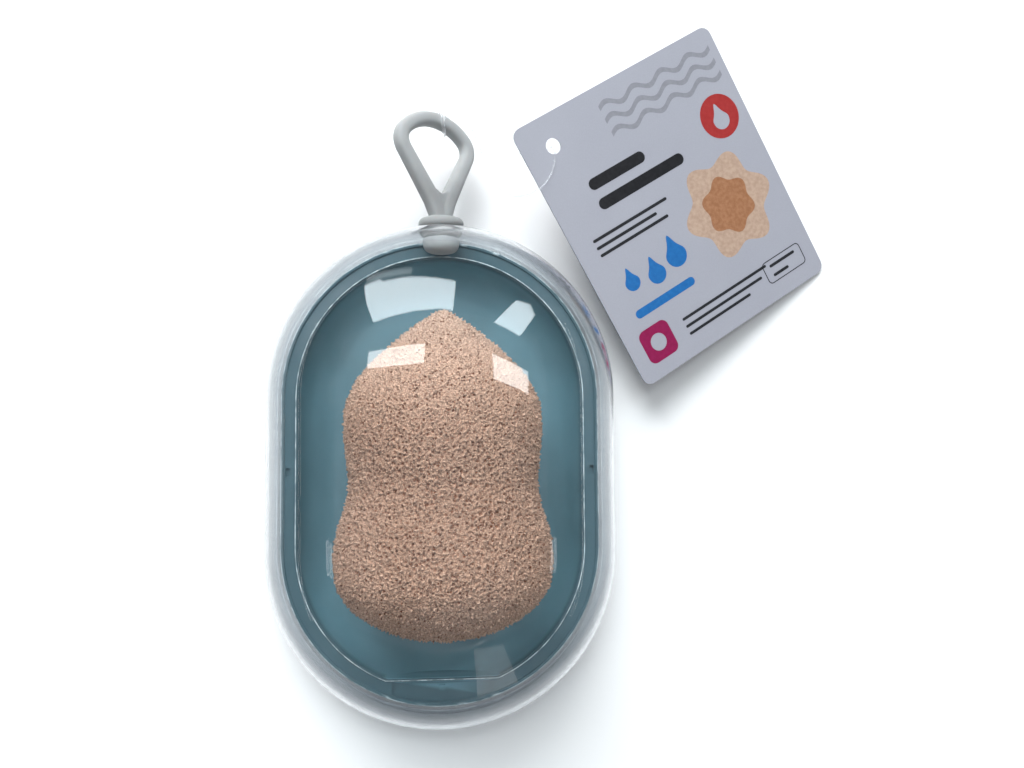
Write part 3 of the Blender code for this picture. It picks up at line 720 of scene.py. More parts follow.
def round_corners(corners, steps):
    """Points through (across, up, fillet) corners, with an arc in place of each filleted one."""
    points = []
    for index, (across, up, fillet) in enumerate(corners):
        here = Vector((across, up))
        if fillet == 0.0:
            points.append(here)
            continue
        before = (Vector(corners[index - 1][:2]) - here).normalized()
        after = (Vector(corners[index + 1][:2]) - here).normalized()
        half = before.angle(after) / 2.0
        centre = here + (before + after).normalized() * (fillet / math.sin(half))
        start = here + before * (fillet / math.tan(half)) - centre
        end = here + after * (fillet / math.tan(half)) - centre
        sweep = start.angle_signed(end)
        for step in range(steps + 1):
            points.append(centre + Matrix.Rotation(-sweep * step / steps, 2) @ start)
    return points


def turns(sweep, steps, start=0.0, ends=True):
    """Even angles over a sweep, with or without the last one."""
    return [start + sweep * step / steps for step in range(steps + ends)]


def grid_faces(rows, columns):
    """Quads of a grid that closes on itself along its columns."""
    faces = []
    for row in range(rows - 1):
        for column in range(columns):
            after = (column + 1) % columns
            first, second = row * columns, (row + 1) * columns
            faces.append((first + column, first + after, second + after, second + column))
    return faces


def turned(name, profile, steps):
    """Turned mesh about Z from a section that starts and ends on the axis."""
    vertices = []
    for point in profile:
        for turn in turns(FULL_TURN, steps, ends=False):
            vertices.append((point.x * math.cos(turn), point.x * math.sin(turn), point.y))
    return add_closed(name, vertices, grid_faces(len(profile), steps))


def smooth_line(points, steps):
    """Smooth curve through points: centripetal Catmull-Rom, with a number of steps a span."""
    ends = [points[0] * 2.0 - points[1], *points, points[-1] * 2.0 - points[-2]]
    line = []
    for first, start, end, last in zip(ends, ends[1:], ends[2:], ends[3:]):
        lead, span, trail = (math.sqrt(length) for length in (
            (start - first).length, (end - start).length, (last - end).length
        ))
        leave = (end - start) + ((start - first) / lead - (end - first) / (lead + span)) * span
        arrive = (end - start) + ((last - end) / trail - (last - start) / (span + trail)) * span
        for step in range(steps):
            share = step / steps
            past = 3.0 * share**2 - 2.0 * share**3
            turn_out = share**3 - 2.0 * share**2 + share
            turn_in = share**3 - share**2
            line.append(start * (1.0 - past) + end * past + leave * turn_out + arrive * turn_in)
    line.append(points[-1])
    return line


def tube(name, points, radius):
    """Curve object: a round tube along points, with filled ends."""
    data = bpy.data.curves.new(name, "CURVE")
    data.dimensions = "3D"
    data.bevel_depth = radius
    data.bevel_resolution = TUBE_FINENESS
    data.use_fill_caps = True
    spline = data.splines.new("POLY")
    spline.points.add(len(points) - 1)
    for knot, point in zip(spline.points, points):
        knot.co = (*point, 1.0)
    return new_object(name, data)


# Places shared by the strap, the lid and the loop


def lid_outer_radius(height):
    """Outer radius of the lid's drafted wall at a height."""
    share = (height - LEDGE_TOP) / (LID_SHOULDER - LEDGE_TOP)
    foot_share = (LID_FOOT - LEDGE_TOP) / (LID_SHOULDER - LEDGE_TOP)
    return LID_RADIUS + LID_FLARE * (foot_share - share)


def plug_matrix():
    """The strap's local Z runs out of the lid's end wall along +Y."""
    wall = STRAIGHT_HALF + lid_outer_radius(STRAP_HEIGHT)
    return Matrix.Translation((0.0, wall, STRAP_HEIGHT)) @ Matrix.Rotation(-QUARTER, 4, "X")


def disc_top():
    """Height of the disc's outer face over the lid's wall."""
    draft = lid_outer_radius(STRAP_HEIGHT - DISC_RADIUS) - lid_outer_radius(STRAP_HEIGHT)
    return GAP + draft + DISC_THICKNESS


def ring_place():
    """Place of the neck and ring, whose own Z runs out from the disc."""
    lean = Matrix.Rotation(-RING_LEAN, 4, "Y")
    twist = Matrix.Rotation(RING_TWIST, 4, "Z")
    droop = Matrix.Rotation(-RING_DROOP, 4, "X")
    return plug_matrix() @ Matrix.Translation((0.0, 0.0, disc_top())) @ droop @ twist @ lean


def ring_centreline():
    """Ring from one leg's foot round to the other, in its own plane: shallow top arc, tight corners."""
    top = Vector((0.0, 0.0, RING_REACH - RING_TOP_RADIUS))
    aside = Vector((math.sin(RING_TOP_ANGLE), 0.0, math.cos(RING_TOP_ANGLE)))
    corner = top + aside * (RING_TOP_RADIUS - RING_CORNER_RADIUS)
    half = []
    for turn in turns(RING_TOP_ANGLE, RING_TOP_STEPS, ends=False):
        half.append(top + Vector((math.sin(turn), 0.0, math.cos(turn))) * RING_TOP_RADIUS)
    for turn in turns(QUARTER + RING_LEG_ANGLE - RING_TOP_ANGLE, RING_CORNER_STEPS, RING_TOP_ANGLE):
        half.append(corner + Vector((math.sin(turn), 0.0, math.cos(turn))) * RING_CORNER_RADIUS)
    drop = half[-1].z - RING_LEG_FOOT
    half.append(half[-1] - Vector((drop * math.tan(RING_LEG_ANGLE), 0.0, drop)))
    mirrored = [Vector((-point.x, 0.0, point.z)) for point in half[:0:-1]]
    return mirrored + half


def wrap_points():
    """Turns of the loop round the ring's bar."""
    place = ring_place()
    across = RING_TOP_RADIUS * math.sin(WRAP_ANGLE)
    drop = RING_TOP_RADIUS - RING_TOP_RADIUS * math.cos(WRAP_ANGLE)
    centre = place @ Vector((across, 0.0, RING_REACH - drop))
    turn = place.to_3x3()
    along = turn @ Vector((math.cos(WRAP_ANGLE), 0.0, -math.sin(WRAP_ANGLE)))
    outward = turn @ Vector((math.sin(WRAP_ANGLE), 0.0, math.cos(WRAP_ANGLE)))
    upward = along.cross(outward)
    radius = BAR_RADIUS + GAP + FILAMENT_RADIUS + WRAP_SLACK
    points = []
    for step in range(WRAP_TURNS * WRAP_TURN_POINTS + 1):
        wound = step / WRAP_TURN_POINTS
        angle = FULL_TURN * wound
        spread = 1.0 + WRAP_SPREAD_SHARE * math.cos(angle)
        reach = (outward * math.cos(angle) + upward * math.sin(angle)) * radius
        upright = -reach.x / along.x
        shift = along * (WRAP_PITCH * spread * (wound - WRAP_TURNS / 2.0) + upright)
        points.append(centre + shift + reach)
    return points


# Pieces


def add_loop():
    """Nylon filament from one end of its lock, through the card and round the ring, to the other."""
    tip = LOCK_LENGTH / 2.0 - LOCK_BORE_DEPTH + GAP
    mouth = LOCK_LENGTH / 2.0 + LOCK_STRAIGHT
    over = [Vector(point) * MM for point in ROUTE_OVER_CARD]
    under = [Vector(point) * MM for point in ROUTE_UNDER_CARD]
    near = [LOCK_CENTRE + LOCK_AXIS * tip, LOCK_CENTRE + LOCK_AXIS * mouth]
    far = [LOCK_CENTRE - LOCK_AXIS * mouth, LOCK_CENTRE - LOCK_AXIS * tip]
    route = near + over + wrap_points()[::-1] + under + far
    points = smooth_line(route, LOOP_SPAN_STEPS)
    loop = tube("nylon_loop", points, FILAMENT_RADIUS)
    loop.data.materials.append(nylon_material())
    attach(loop, "loop")
    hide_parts("tag_loop")


def stadium_outline(arc_steps, straight_steps):
    """Centre and outward direction of each column round the case."""
    columns = []
    for side in (1.0, -1.0):
        for step in range(straight_steps):
            y = side * STRAIGHT_HALF * (2.0 * step / straight_steps - 1.0)
            columns.append((Vector((0.0, y)), Vector((side, 0.0))))
        for turn in turns(math.pi, arc_steps, ends=False):
            centre = Vector((0.0, side * STRAIGHT_HALF))
            columns.append((centre, Vector((math.cos(turn), math.sin(turn))) * side))
    return columns


def stadium_shell(name, profile, columns):
    """Closed mesh run round the case from a section that starts and ends on the middle line."""
    vertices = []
    for point in profile:
        for centre, direction in columns:
            spot = centre + direction * point.x
            vertices.append((spot.x, spot.y, point.y))
    return add_closed(name, vertices, grid_faces(len(profile), len(columns)))


def dome(radius, top):
    """Section of the dome from its crown down to the shoulder: a superellipse."""
    rise = top - LID_SHOULDER
    points = []
    for turn in turns(QUARTER, DOME_STEPS, ends=False):
        across = radius * math.sin(turn) ** (2.0 / DOME_POWER)
        up = LID_SHOULDER + rise * math.cos(turn) ** (2.0 / DOME_POWER)
        points.append(Vector((across, up)))
    points.append(Vector((radius, LID_SHOULDER)))
    return points


def arc_points(radius, centre_y, start, sweep, steps):
    """Points on an arc in plan."""
    return [
        (radius * math.cos(turn), centre_y + radius * math.sin(turn)) for turn in turns(sweep, steps, start)
    ]


def thumb_chord():
    """Distance of the chord from the end arc's centre."""
    return math.sqrt(TRAY_MOUTH_RADIUS**2 - CHORD_HALF_WIDTH**2)


def mouth_outline(spread):
    """Outline of the tray's mouth, moved outwards, with its straight chord at the thumb end."""
    radius = TRAY_MOUTH_RADIUS + spread
    reach = math.asin((thumb_chord() + spread) / radius)
    points = arc_points(radius, STRAIGHT_HALF, 0.0, math.pi, 2 * MOUTH_STEPS)
    points += arc_points(radius, -STRAIGHT_HALF, math.pi, reach, MOUTH_STEPS)
    points += arc_points(radius, -STRAIGHT_HALF, FULL_TURN - reach, reach, MOUTH_STEPS)
    return points


def prism(name, low_outline, high_outline, low, high):
    """Block between two flat outlines of the same count."""
    count = len(low_outline)
    vertices = [(x, y, low) for x, y in low_outline] + [(x, y, high) for x, y in high_outline]
    faces = grid_faces(2, count)
    faces += [tuple(range(count)), tuple(count + step for step in range(count))]
    return add_closed(name, vertices, faces)


def lip_ring():
    """Lip round the mouth with a round back that catches a thin line of light."""
    section = [(LIP_INSET, FLANGE_TOP - LIP_ROOT)]
    for turn in turns(math.pi, LIP_STEPS):
        across = LIP_INSET + LIP_WIDTH / 2.0 - LIP_WIDTH / 2.0 * math.cos(turn)
        section.append((across, FLANGE_TOP + LIP_HEIGHT * math.sin(turn)))
    section.append((LIP_INSET + LIP_WIDTH, FLANGE_TOP - LIP_ROOT))
    section.append(section[0])
    vertices = []
    for spread, up in section:
        vertices += [(x, y, up) for x, y in mouth_outline(spread)]
    columns = len(vertices) // len(section)
    return add_closed("mouth_lip", vertices, grid_faces(len(section), columns))


def mark_places(mesh):
    """Mark the crests of the lip and bead, where a pale line is painted as a highlight, and the tray's
    inside, which painted light makes paler.
    """
    spots, normals = places_and_normals(mesh)
    end = np.maximum(np.abs(spots[:, 1]) - STRAIGHT_HALF, 0.0)
    out = np.hypot(spots[:, 0], end)
    # Crests of the lip and bead, which get the painted highlight.
    lip = spots[:, 2] > FLANGE_TOP + LIP_CREST_SHARE * LIP_HEIGHT
    lip &= out < TRAY_MOUTH_RADIUS + LIP_INSET + LIP_WIDTH
    bead_top = FLANGE_TOP + RIM_BEAD_HEIGHT
    bead = np.abs(out - RIM_RADIUS + RIM_EDGE_FILLET / 2.0) < RIM_EDGE_FILLET / 2.0
    bead &= spots[:, 2] > bead_top - RIM_EDGE_FILLET / 2.0
    inward = -(spots[:, 0] * normals[:, 0] + np.sign(spots[:, 1]) * end * normals[:, 1])
    # Mask of the tray's inside, where the painted light goes.
    bowl_painted_light = (out < TRAY_MOUTH_RADIUS - MERGE) & ((normals[:, 2] > FACING_UP) | (inward > 0.0))
    mark(mesh, "edge", lip | bead)
    mark(mesh, "bowl_painted_light", bowl_painted_light)


def tray_profile():
    """Section of the tray: bowl, flange, bead, rim wall, ledge and its lip, and back along the underside."""
    bead_inner = RIM_RADIUS - RIM_BEAD_WIDTH
    bead_top = FLANGE_TOP + RIM_BEAD_HEIGHT
    ledge_radius = lid_outer_radius(LEDGE_TOP)
    corner = TRAY_MOUTH_RADIUS - TRAY_WALL_DRAFT
    section = [
        (0.0, TRAY_WALL, 0.0),
        (corner, TRAY_WALL, TRAY_BOWL_FILLET),
        (TRAY_MOUTH_RADIUS, FLANGE_TOP, 0.0),
        (bead_inner, FLANGE_TOP, RIM_BEAD_FILLET),
        (bead_inner, bead_top, RIM_BEAD_FILLET),
        (RIM_RADIUS, bead_top, RIM_EDGE_FILLET),
        (RIM_RADIUS, LEDGE_TOP, 0.0),
        (ledge_radius, LEDGE_TOP, RIM_EDGE_FILLET),
        (ledge_radius, LEDGE_TOP - LEDGE_LIP_DROP, RIM_EDGE_FILLET),
        (ledge_radius - LEDGE_LIP_WIDTH, LEDGE_TOP - LEDGE_LIP_DROP, 0.0),
        (ledge_radius - LEDGE_LIP_WIDTH, LEDGE_TOP - LEDGE_THICKNESS, 0.0),
        (RIM_RADIUS - RIM_WALL, LEDGE_TOP - LEDGE_THICKNESS, 0.0),
        (RIM_RADIUS - RIM_WALL, FLANGE_TOP - FLANGE_THICKNESS, 0.0),
        (TRAY_MOUTH_RADIUS + TRAY_WALL, FLANGE_TOP - FLANGE_THICKNESS, 0.0),
        (corner + TRAY_WALL, 0.0, TRAY_BOWL_FILLET + TRAY_WALL),
        (0.0, 0.0, 0.0),
    ]
    return round_corners(section, TRAY_FILLET_STEPS)


def shape_thumb_end(tray):
    """Shelf behind the mouth's chord, and the shallow recess in the flange with its nub."""
    middle = TRAY_WALL / 2.0
    outlines = []
    for radius in (TRAY_MOUTH_RADIUS - TRAY_WALL_DRAFT + middle, TRAY_MOUTH_RADIUS + middle / 2.0):
        reach = math.acos(thumb_chord() / radius)
        outlines.append(arc_points(radius, -STRAIGHT_HALF, -QUARTER - reach, 2.0 * reach, SHELF_STEPS))
    cut_or_add(tray, prism("thumb_shelf", *outlines, SHELF_FOOT, FLANGE_TOP - SEAM), "UNION")

    radius = RIM_RADIUS - RIM_BEAD_WIDTH - RECESS_MARGIN
    reach = math.asin(RECESS_HALF_WIDTH / radius)
    inner = -STRAIGHT_HALF - thumb_chord() - LIP_INSET - LIP_WIDTH - RECESS_MARGIN
    outline = arc_points(radius, -STRAIGHT_HALF, -QUARTER - reach, 2.0 * reach, RECESS_STEPS)
    outline += [(RECESS_HALF_WIDTH, inner), (-RECESS_HALF_WIDTH, inner)]
    floor = FLANGE_TOP - RECESS_DEPTH
    cut_or_add(tray, prism("thumb_recess", outline, outline, floor, FLANGE_TOP + OVERRUN), "DIFFERENCE")
    nub = pill(0.0, inner - NUB_INSET - NUB_SIZE / 2.0, NUB_SIZE, NUB_SIZE, corner=NUB_CORNER)
    cut_or_add(tray, prism("thumb_nub", nub, nub, floor - RECESS_DEPTH / 2.0, FLANGE_TOP - SEAM), "UNION")


def add_tray():
    """Case base with smooth fillets, a round-backed lip, and its shelf, recess, nub and dimples."""
    columns = stadium_outline(TRAY_ARC_STEPS, TRAY_STRAIGHT_STEPS)
    tray = stadium_shell("tray_moulding", tray_profile(), columns)
    shape_thumb_end(tray)
    for side in (-1.0, 1.0):
        place = side * (RIM_RADIUS - DIMPLE_INSET)
        dimple = pill(place, 0.0, DIMPLE_WIDTH, DIMPLE_LENGTH, corner=NUB_CORNER)
        tool = prism("dimple", dimple, dimple, FLANGE_TOP - DIMPLE_DEPTH, FLANGE_TOP + DIMPLE_DEPTH)
        cut_or_add(tray, tool, "DIFFERENCE")
    cut_or_add(tray, lip_ring(), "UNION")
    tray.data.shade_smooth()
    tray.data.set_sharp_from_angle(angle=SHARP)
    mark_places(tray.data)
    tray.data.materials.clear()
    tray.data.materials.append(tray_material())
    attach(tray, "base")
    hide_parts("case_base")


def stem_hole():
    """Helper that cuts the hole for the strap's stem through the lid's end wall."""
    radius = STEM_RADIUS + GAP
    bm = bmesh.new()
    bmesh.ops.create_cone(
        bm, cap_ends=True, segments=HOLE_SIDES, radius1=radius, radius2=radius, depth=4.0 * LID_WALL
    )
    mesh = bpy.data.meshes.new("stem_hole")
    bm.to_mesh(mesh)
    bm.free()
    hole = new_object("stem_hole", mesh)
    hole.matrix_world = plug_matrix() @ Matrix.Translation((0.0, 0.0, -LID_WALL / 2.0))
    bpy.context.view_layer.update()
    return hole


def add_lid():
    """Clear lid, finely divided so that its reflections run smoothly."""
    outer = lid_outer_radius(LID_FOOT)
    shoulder = lid_outer_radius(LID_SHOULDER)
    edge = [
        (shoulder, LID_SHOULDER, 0.0),
        (outer, LID_FOOT, LID_EDGE_FILLET),
        (outer - LID_WALL, LID_FOOT, LID_EDGE_FILLET),
        (shoulder - LID_WALL, LID_SHOULDER, 0.0),
    ]
    outside = dome(shoulder, LID_TOP)
    inside = dome(shoulder - LID_WALL, LID_TOP - LID_WALL)
    profile = outside + round_corners(edge, LID_EDGE_STEPS)[1:-1] + inside[::-1]
    lid = stadium_shell("lid_shell", profile, stadium_outline(LID_ARC_STEPS, LID_STRAIGHT_STEPS))
    cut_or_add(lid, stem_hole(), "DIFFERENCE")
    lid.data.set_sharp_from_angle(angle=LID_SHARP)
    lid.data.materials.append(lid_material())
    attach(lid, "lid")
    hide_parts("case_lid")


def neck_outline():
    """Flat neck in the ring's plane: from the disc up between the legs, with a round crotch."""
    line = ring_centreline()
    foot, above = line[-1], line[-2]
    slope = (above.x - foot.x) / (above.z - foot.z)
    lean = math.atan(slope)
    inner_x = foot.x - BAR_RADIUS / math.cos(lean)
    meet = foot.z - inner_x / slope
    centre = meet + CROTCH_RADIUS / math.sin(lean)
    top = centre - CROTCH_RADIUS * math.sin(lean)
    leg = foot.x + (top - foot.z) * slope
    points = [(NECK_ROOT_RADIUS, -NECK_ROOT), (leg, top)]
    for turn in turns(2.0 * lean - math.pi, CROTCH_STEPS, -lean):
        points.append((CROTCH_RADIUS * math.cos(turn), centre + CROTCH_RADIUS * math.sin(turn)))
    return points + [(-leg, top), (-NECK_ROOT_RADIUS, -NECK_ROOT)]


def soft_bar(name, line):
    """Bar along a flat line, of a rounded-square section, flared at its feet, with closed ends."""
    vertices = []
    for index, point in enumerate(line):
        before, after = line[max(index - 1, 0)], line[min(index + 1, len(line) - 1)]
        along = (after - before).normalized()
        inward = Vector((along.z, 0.0, -along.x))
        rise = point.z - RING_LEG_FOOT
        foot = 1.0 - rise / LEG_FLARE_HEIGHT if rise > 0.0 else 1.0 + rise / (RING_LEG_FOOT + NECK_ROOT)
        foot = max(0.0, foot)
        aside = Vector((math.copysign(LEG_FLARE * foot, point.x), 0.0, 0.0))
        thick = 1.0 + foot * LEG_FLARE / BAR_RADIUS
        for turn in turns(FULL_TURN, BAR_SIDES, ends=False):
            across, up = math.cos(turn), math.sin(turn)
            corner = abs(across) ** BAR_SQUARENESS + abs(up) ** BAR_SQUARENESS
            reach = BAR_RADIUS / corner ** (1.0 / BAR_SQUARENESS)
            spot = point + aside + inward * (reach * across * thick) + Vector((0.0, reach * up, 0.0))
            vertices.append(tuple(spot))
    last = (len(line) - 1) * BAR_SIDES
    faces = grid_faces(len(line), BAR_SIDES)
    faces.append(tuple(range(BAR_SIDES)))
    faces.append(tuple(last + step for step in reversed(range(BAR_SIDES))))
    return add_closed(name, vertices, faces)


def add_strap():
    """Soft strap with its joints filleted: the source's pieces melted together."""
    wall_radius = lid_outer_radius(STRAP_HEIGHT) - LID_WALL
    sagitta = wall_radius - math.sqrt(wall_radius**2 - HEAD_RADIUS**2)
    seat = -LID_WALL - sagitta - GAP
    section = [
        (0.0, disc_top(), 0.0),
        (DISC_RADIUS, disc_top(), DISC_EDGE_FILLET),
        (DISC_RADIUS, disc_top() - DISC_THICKNESS, DISC_EDGE_FILLET),
        (STEM_RADIUS, disc_top() - DISC_THICKNESS, 0.0),
        (STEM_RADIUS, seat, 0.0),
        (HEAD_RADIUS, seat, HEAD_EDGE_FILLET),
        (HEAD_RADIUS - HEAD_TAPER, seat - HEAD_LENGTH, HEAD_FILLET),
        (0.0, seat - HEAD_LENGTH, 0.0),
    ]
    plug = turned("strap_moulding", round_corners(section, PLUG_FILLET_STEPS), PLUG_SIDES)
    plug.matrix_world = plug_matrix()

    outline = neck_outline()
    neck = prism("strap_neck", outline, outline, -NECK_THICKNESS / 2.0, NECK_THICKNESS / 2.0)
    neck.matrix_world = ring_place() @ Matrix.Rotation(QUARTER, 4, "X")

    line = ring_centreline()
    root = NECK_ROOT_RADIUS - BAR_RADIUS
    line = [Vector((-root, 0.0, -NECK_ROOT)), *line, Vector((root, 0.0, -NECK_ROOT))]
    solid = soft_bar("strap_ring", line)
    solid.matrix_world = ring_place()
    for item in (plug, neck, solid):
        bake_place(item)
    join_to(plug, [neck, solid])
    melt(plug, STRAP_VOXEL, STRAP_SMOOTHING)
    plug.data.shade_smooth()
    plug.data.materials.clear()
    plug.data.materials.append(strap_material())
    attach(plug, "strap")
    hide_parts("hang_strap")


def puff_blank():
    """Smooth puff before its pores: the source's pear, flat where it rests."""
    stations = [Vector((width, along)) for along, width in PUFF_PROFILE_SHARES]
    radius = PUFF_WIDTH / 2.0 - FOAM_INSET
    line = smooth_line(stations, PUFF_SPAN_STEPS)
    profile = [Vector((abs(point.x) * radius, -point.y * PUFF_LENGTH)) for point in line]
    puff = turned("foam_puff", profile, PUFF_TURN_STEPS)
    centre = PUFF_REST - PUFF_SINK + PUFF_THICKNESS / 2.0
    tip_drop = PUFF_BELLY_SHARE * PUFF_LENGTH * math.sin(PUFF_PITCH)
    flat = Matrix.Diagonal((1.0, PUFF_THICKNESS / PUFF_WIDTH, 1.0, 1.0))
    turn = Matrix.Rotation(-QUARTER - PUFF_PITCH, 4, "X")
    puff.matrix_world = Matrix.Translation((PUFF_CENTRE_X, PUFF_TIP_Y, centre - tip_drop)) @ turn @ flat
    bake_place(puff)
    for vertex in puff.data.vertices:
        vertex.co.z = max(vertex.co.z, PUFF_REST + FOAM_INSET)
    melt(puff, FOAM_VOXEL, FOAM_SMOOTHING)
    return puff


def pore_size(spots):
    """Size of the pores along the puff: coarse over its waist, fine at its tip."""
    bulge = np.exp(-(((spots[:, 1] - WAIST_Y) / WAIST_REACH) ** 2))
    return TIP_PORE_SHARE + WAIST_PORE_SHARE * bulge


def scatter_pores(spots, sizes, rng):
    """Pick points on the surface that keep a spacing from each other."""
    spacing = PORE_SPACING * sizes
    cell = PORE_SPACING * sizes.max()
    neighbours = list(product((-1, 0, 1), repeat=3))
    grid = {}
    chosen = []
    for index in rng.permutation(len(spots)):
        spot = spots[index]
        x, y, z = (spot // cell).astype(int)
        limit = spacing[index] * spacing[index]
        near = (other for dx, dy, dz in neighbours for other in grid.get((x + dx, y + dy, z + dz), ()))
        if all(((spots[other] - spot) ** 2).sum() >= limit for other in near):
            grid.setdefault((x, y, z), []).append(index)
            chosen.append(index)
    return chosen


def sink_pores(spots, sizes, rng):
    """How deep each vertex lies in a pore, from 0 on the skin to about 1."""
    pores = scatter_pores(spots, sizes, rng)
    tree = KDTree(len(pores))
    for place, index in enumerate(pores):
        tree.insert(spots[index], place)
    tree.balance()
    scale = rng.uniform(*PORE_SIZE_SHARES, len(pores))
    depth = rng.uniform(*PORE_DEPTH_SHARES, len(pores))
    sunk = np.zeros(len(spots))
    shift = rng.normal(0.0, PORE_JITTER, (len(spots), 3))
    for index in range(len(spots)):
        for _, place, distance in tree.find_n(spots[index] + shift[index], 2):
            radius = PORE_RADIUS * scale[place] * sizes[index]
            if distance < radius:
                share = 1.0 - (distance / radius) ** 2
                sunk[index] = max(sunk[index], share * depth[place])
    return sunk


def add_puff():
    """Foam puff with its pores sunk into the mesh, and a ragged, tufted skin between them."""
    puff = puff_blank()
    mesh = puff.data
    spots, normals = places_and_normals(mesh)
    rng = np.random.default_rng(FOAM_SEED)
    sizes = pore_size(spots)
    sunk = sink_pores(spots, sizes, rng)
    skin = 1.0 - sunk.clip(0.0, 1.0)
    fuzz = np.clip(rng.normal(0.0, 1.0, len(spots)), *RAGGED_LIMITS) * FOAM_RAGGED
    tufts = np.array([noise.noise(Vector(spot) / TUFT_SPACING) for spot in spots])
    tufts = (tufts - TUFT_START).clip(0.0, TUFT_SPAN) / TUFT_SPAN
    fuzz += tufts**TUFT_POWER * FOAM_TUFT
    fuzz *= skin
    move = fuzz - sunk * PORE_DEPTH * sizes
    flat = spots[:, 2] < PUFF_REST + 2.0 * FOAM_INSET
    move[flat] *= FLAT_SHARE
    spots += normals * move[:, None]
    spots[:, 2] = np.maximum(spots[:, 2], PUFF_REST)
    mesh.vertices.foreach_set("co", spots.ravel())
    mark(mesh, "pore", sunk.clip(0.0, 1.0))
    mark(mesh, "tuft", tufts * skin)
    mesh.update()
    mesh.shade_smooth()
    mesh.materials.clear()
    mesh.materials.append(foam_material())
    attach(puff, "puff")
    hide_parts("cleansing_puff")


# Card print


def tag_matrix():
    """Place of the card."""
    heading = Matrix.Rotation(TAG_HEADING, 4, "Z")
    roll = Matrix.Rotation(TAG_ROLL, 4, "Y")
    pitch = Matrix.Rotation(TAG_PITCH, 4, "X")
    return Matrix.Translation(TAG_CENTRE) @ heading @ roll @ pitch


def round_outline(x, y, sides, reach):
    """Closed outline about a centre, whose distance from it follows the turn."""
    points = []
    for turn in turns(FULL_TURN, sides, ends=False):
        points.append((x + reach(turn) * math.cos(turn), y + reach(turn) * math.sin(turn)))
    return points


def disc(x, y, radius):
    """Round outline."""
    return round_outline(x, y, DISC_SIDES, lambda turn: radius)


def pill(x, y, width, height, corner=None):
    """Rectangle with rounded corners, about its centre."""
    radius = height / 2.0 if corner is None else corner
    points = []
    for quarter, (right, up) in enumerate(((1, 1), (-1, 1), (-1, -1), (1, -1))):
        for step in range(CORNER_STEPS + 1):
            turn = QUARTER * (quarter + step / CORNER_STEPS)
            across = x + right * (width / 2.0 - radius) + radius * math.cos(turn)
            points.append((across, y + up * (height / 2.0 - radius) + radius * math.sin(turn)))
    return points


def drop(x, y, radius):
    """Water drop with its tip up."""
    points = []
    for turn in turns(FULL_TURN, DROP_SIDES, ends=False):
        up = max(0.0, math.sin(turn))
        across = radius * math.cos(turn) * (1.0 - DROP_WAIST * up**2)
        points.append((x + across, y + radius * (1.0 + DROP_TIP * up**DROP_TIP_POWER) * math.sin(turn)))
    return points


def petals(x, y, radius, depth, turned_by=0.0):
    """Flower outline: a circle with rounded lobes."""
    def lobes(turn):
        return radius * (1.0 + depth * math.cos(PETALS * (turn + turned_by)))

    return round_outline(x, y, FLOWER_SIDES, lobes)


def wave_band(left, right, y, thickness, height, length):
    """Band that runs in waves from left to right."""
    upper, lower = [], []
    for step in range(WAVE_STEPS + 1):
        x = left + (right - left) * step / WAVE_STEPS
        middle = y + height * math.sin(FULL_TURN * (x - left) / length)
        upper.append((x, middle + thickness / 2.0))
        lower.append((x, middle - thickness / 2.0))
    return lower + upper[::-1]


def print_sheet(name, shapes, ink, lift):
    """Thin printed layer on the card's face from closed outlines in mm, each with its holes."""
    vertices, faces = [], []
    for loops in shapes:
        loops = [[Vector((x, y, 0.0)) for x, y in loop] for loop in loops]
        start = len(vertices)
        flat = [point for loop in loops for point in loop]
        vertices += [(p.x * MM, p.y * MM, lift) for p in flat]
        for triangle in tessellate_polygon(loops):
            a, b, c = (flat[index] for index in triangle)
            upright = (b - a).cross(c - a).z > 0.0
            corners = triangle if upright else triangle[::-1]
            faces.append(tuple(start + index for index in corners))
    item = add_mesh(name, vertices, faces)
    item.data.transform(tag_matrix())
    item.data.materials.append(ink_material(ink))
    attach(item, "tag")


def add_print():
    """Generic print of the card: panels, waves, drops, a flower and plain bars, with no words."""
    face = TAG_THICKNESS / 2.0 + PRINT_LIFT
    badge = [pill(*BADGE, 10.5, 10.5, corner=2.2), disc(*BADGE, 2.6)]
    print_sheet("print_magenta", [badge], "magenta", face)
    waves = [[wave_band(-8.0, 33.0, 35.0 - 4.0 * row, 1.5, 1.1, 10.25)] for row in range(3)]
    print_sheet("print_waves", waves, "grey", face)

    bars = []
    for row, (width, x) in enumerate(((20.0, -12.0), (31.0, -6.5))):
        bars.append([pill(x, 17.5 - 6.2 * row, width, 3.4)])
    for row, width in enumerate((27.0, 22.0, 25.0)):
        bars.append([pill(-29.0 + width / 2.0, 3.4 - 2.3 * row, width, 0.9)])
    for row, width in enumerate((33.0, 30.0, 24.0)):
        bars.append([pill(-15.5 + width / 2.0, -30.0 - 2.4 * row, width, 0.85)])
    bars.append([pill(*STAMP, 15.0, 7.0, corner=1.4), pill(*STAMP, 14.4, 6.4, corner=1.1)])
    bars.append([pill(STAMP[0], STAMP[1] + 1.5, 10.0, 0.9)])
    bars.append([pill(STAMP[0] - 2.0, STAMP[1] - 1.5, 6.0, 0.9)])
    print_sheet("print_bars", bars, "black", face)

    drops = [[drop(-24.0 + 8.2 * k, -12.5 - 1.6 * (k % 2), 2.5 + 0.5 * k)] for k in range(3)]
    drops.append([pill(-17.0, -21.5, 22.0, 2.6)])
    print_sheet("print_drops", drops, "blue", face)

    print_sheet("print_flower", [[petals(*FLOWER, 14.0, 0.13)]], "peach", face)
    heart = petals(*FLOWER, 8.2, 0.10, turned_by=0.52)
    print_sheet("print_flower_heart", [[heart]], "tan", face + PRINT_LIFT)
    print_sheet("print_spot", [[disc(*SPOT, 6.6), drop(SPOT[0], SPOT[1] - 1.2, 2.8)]], "red", face)


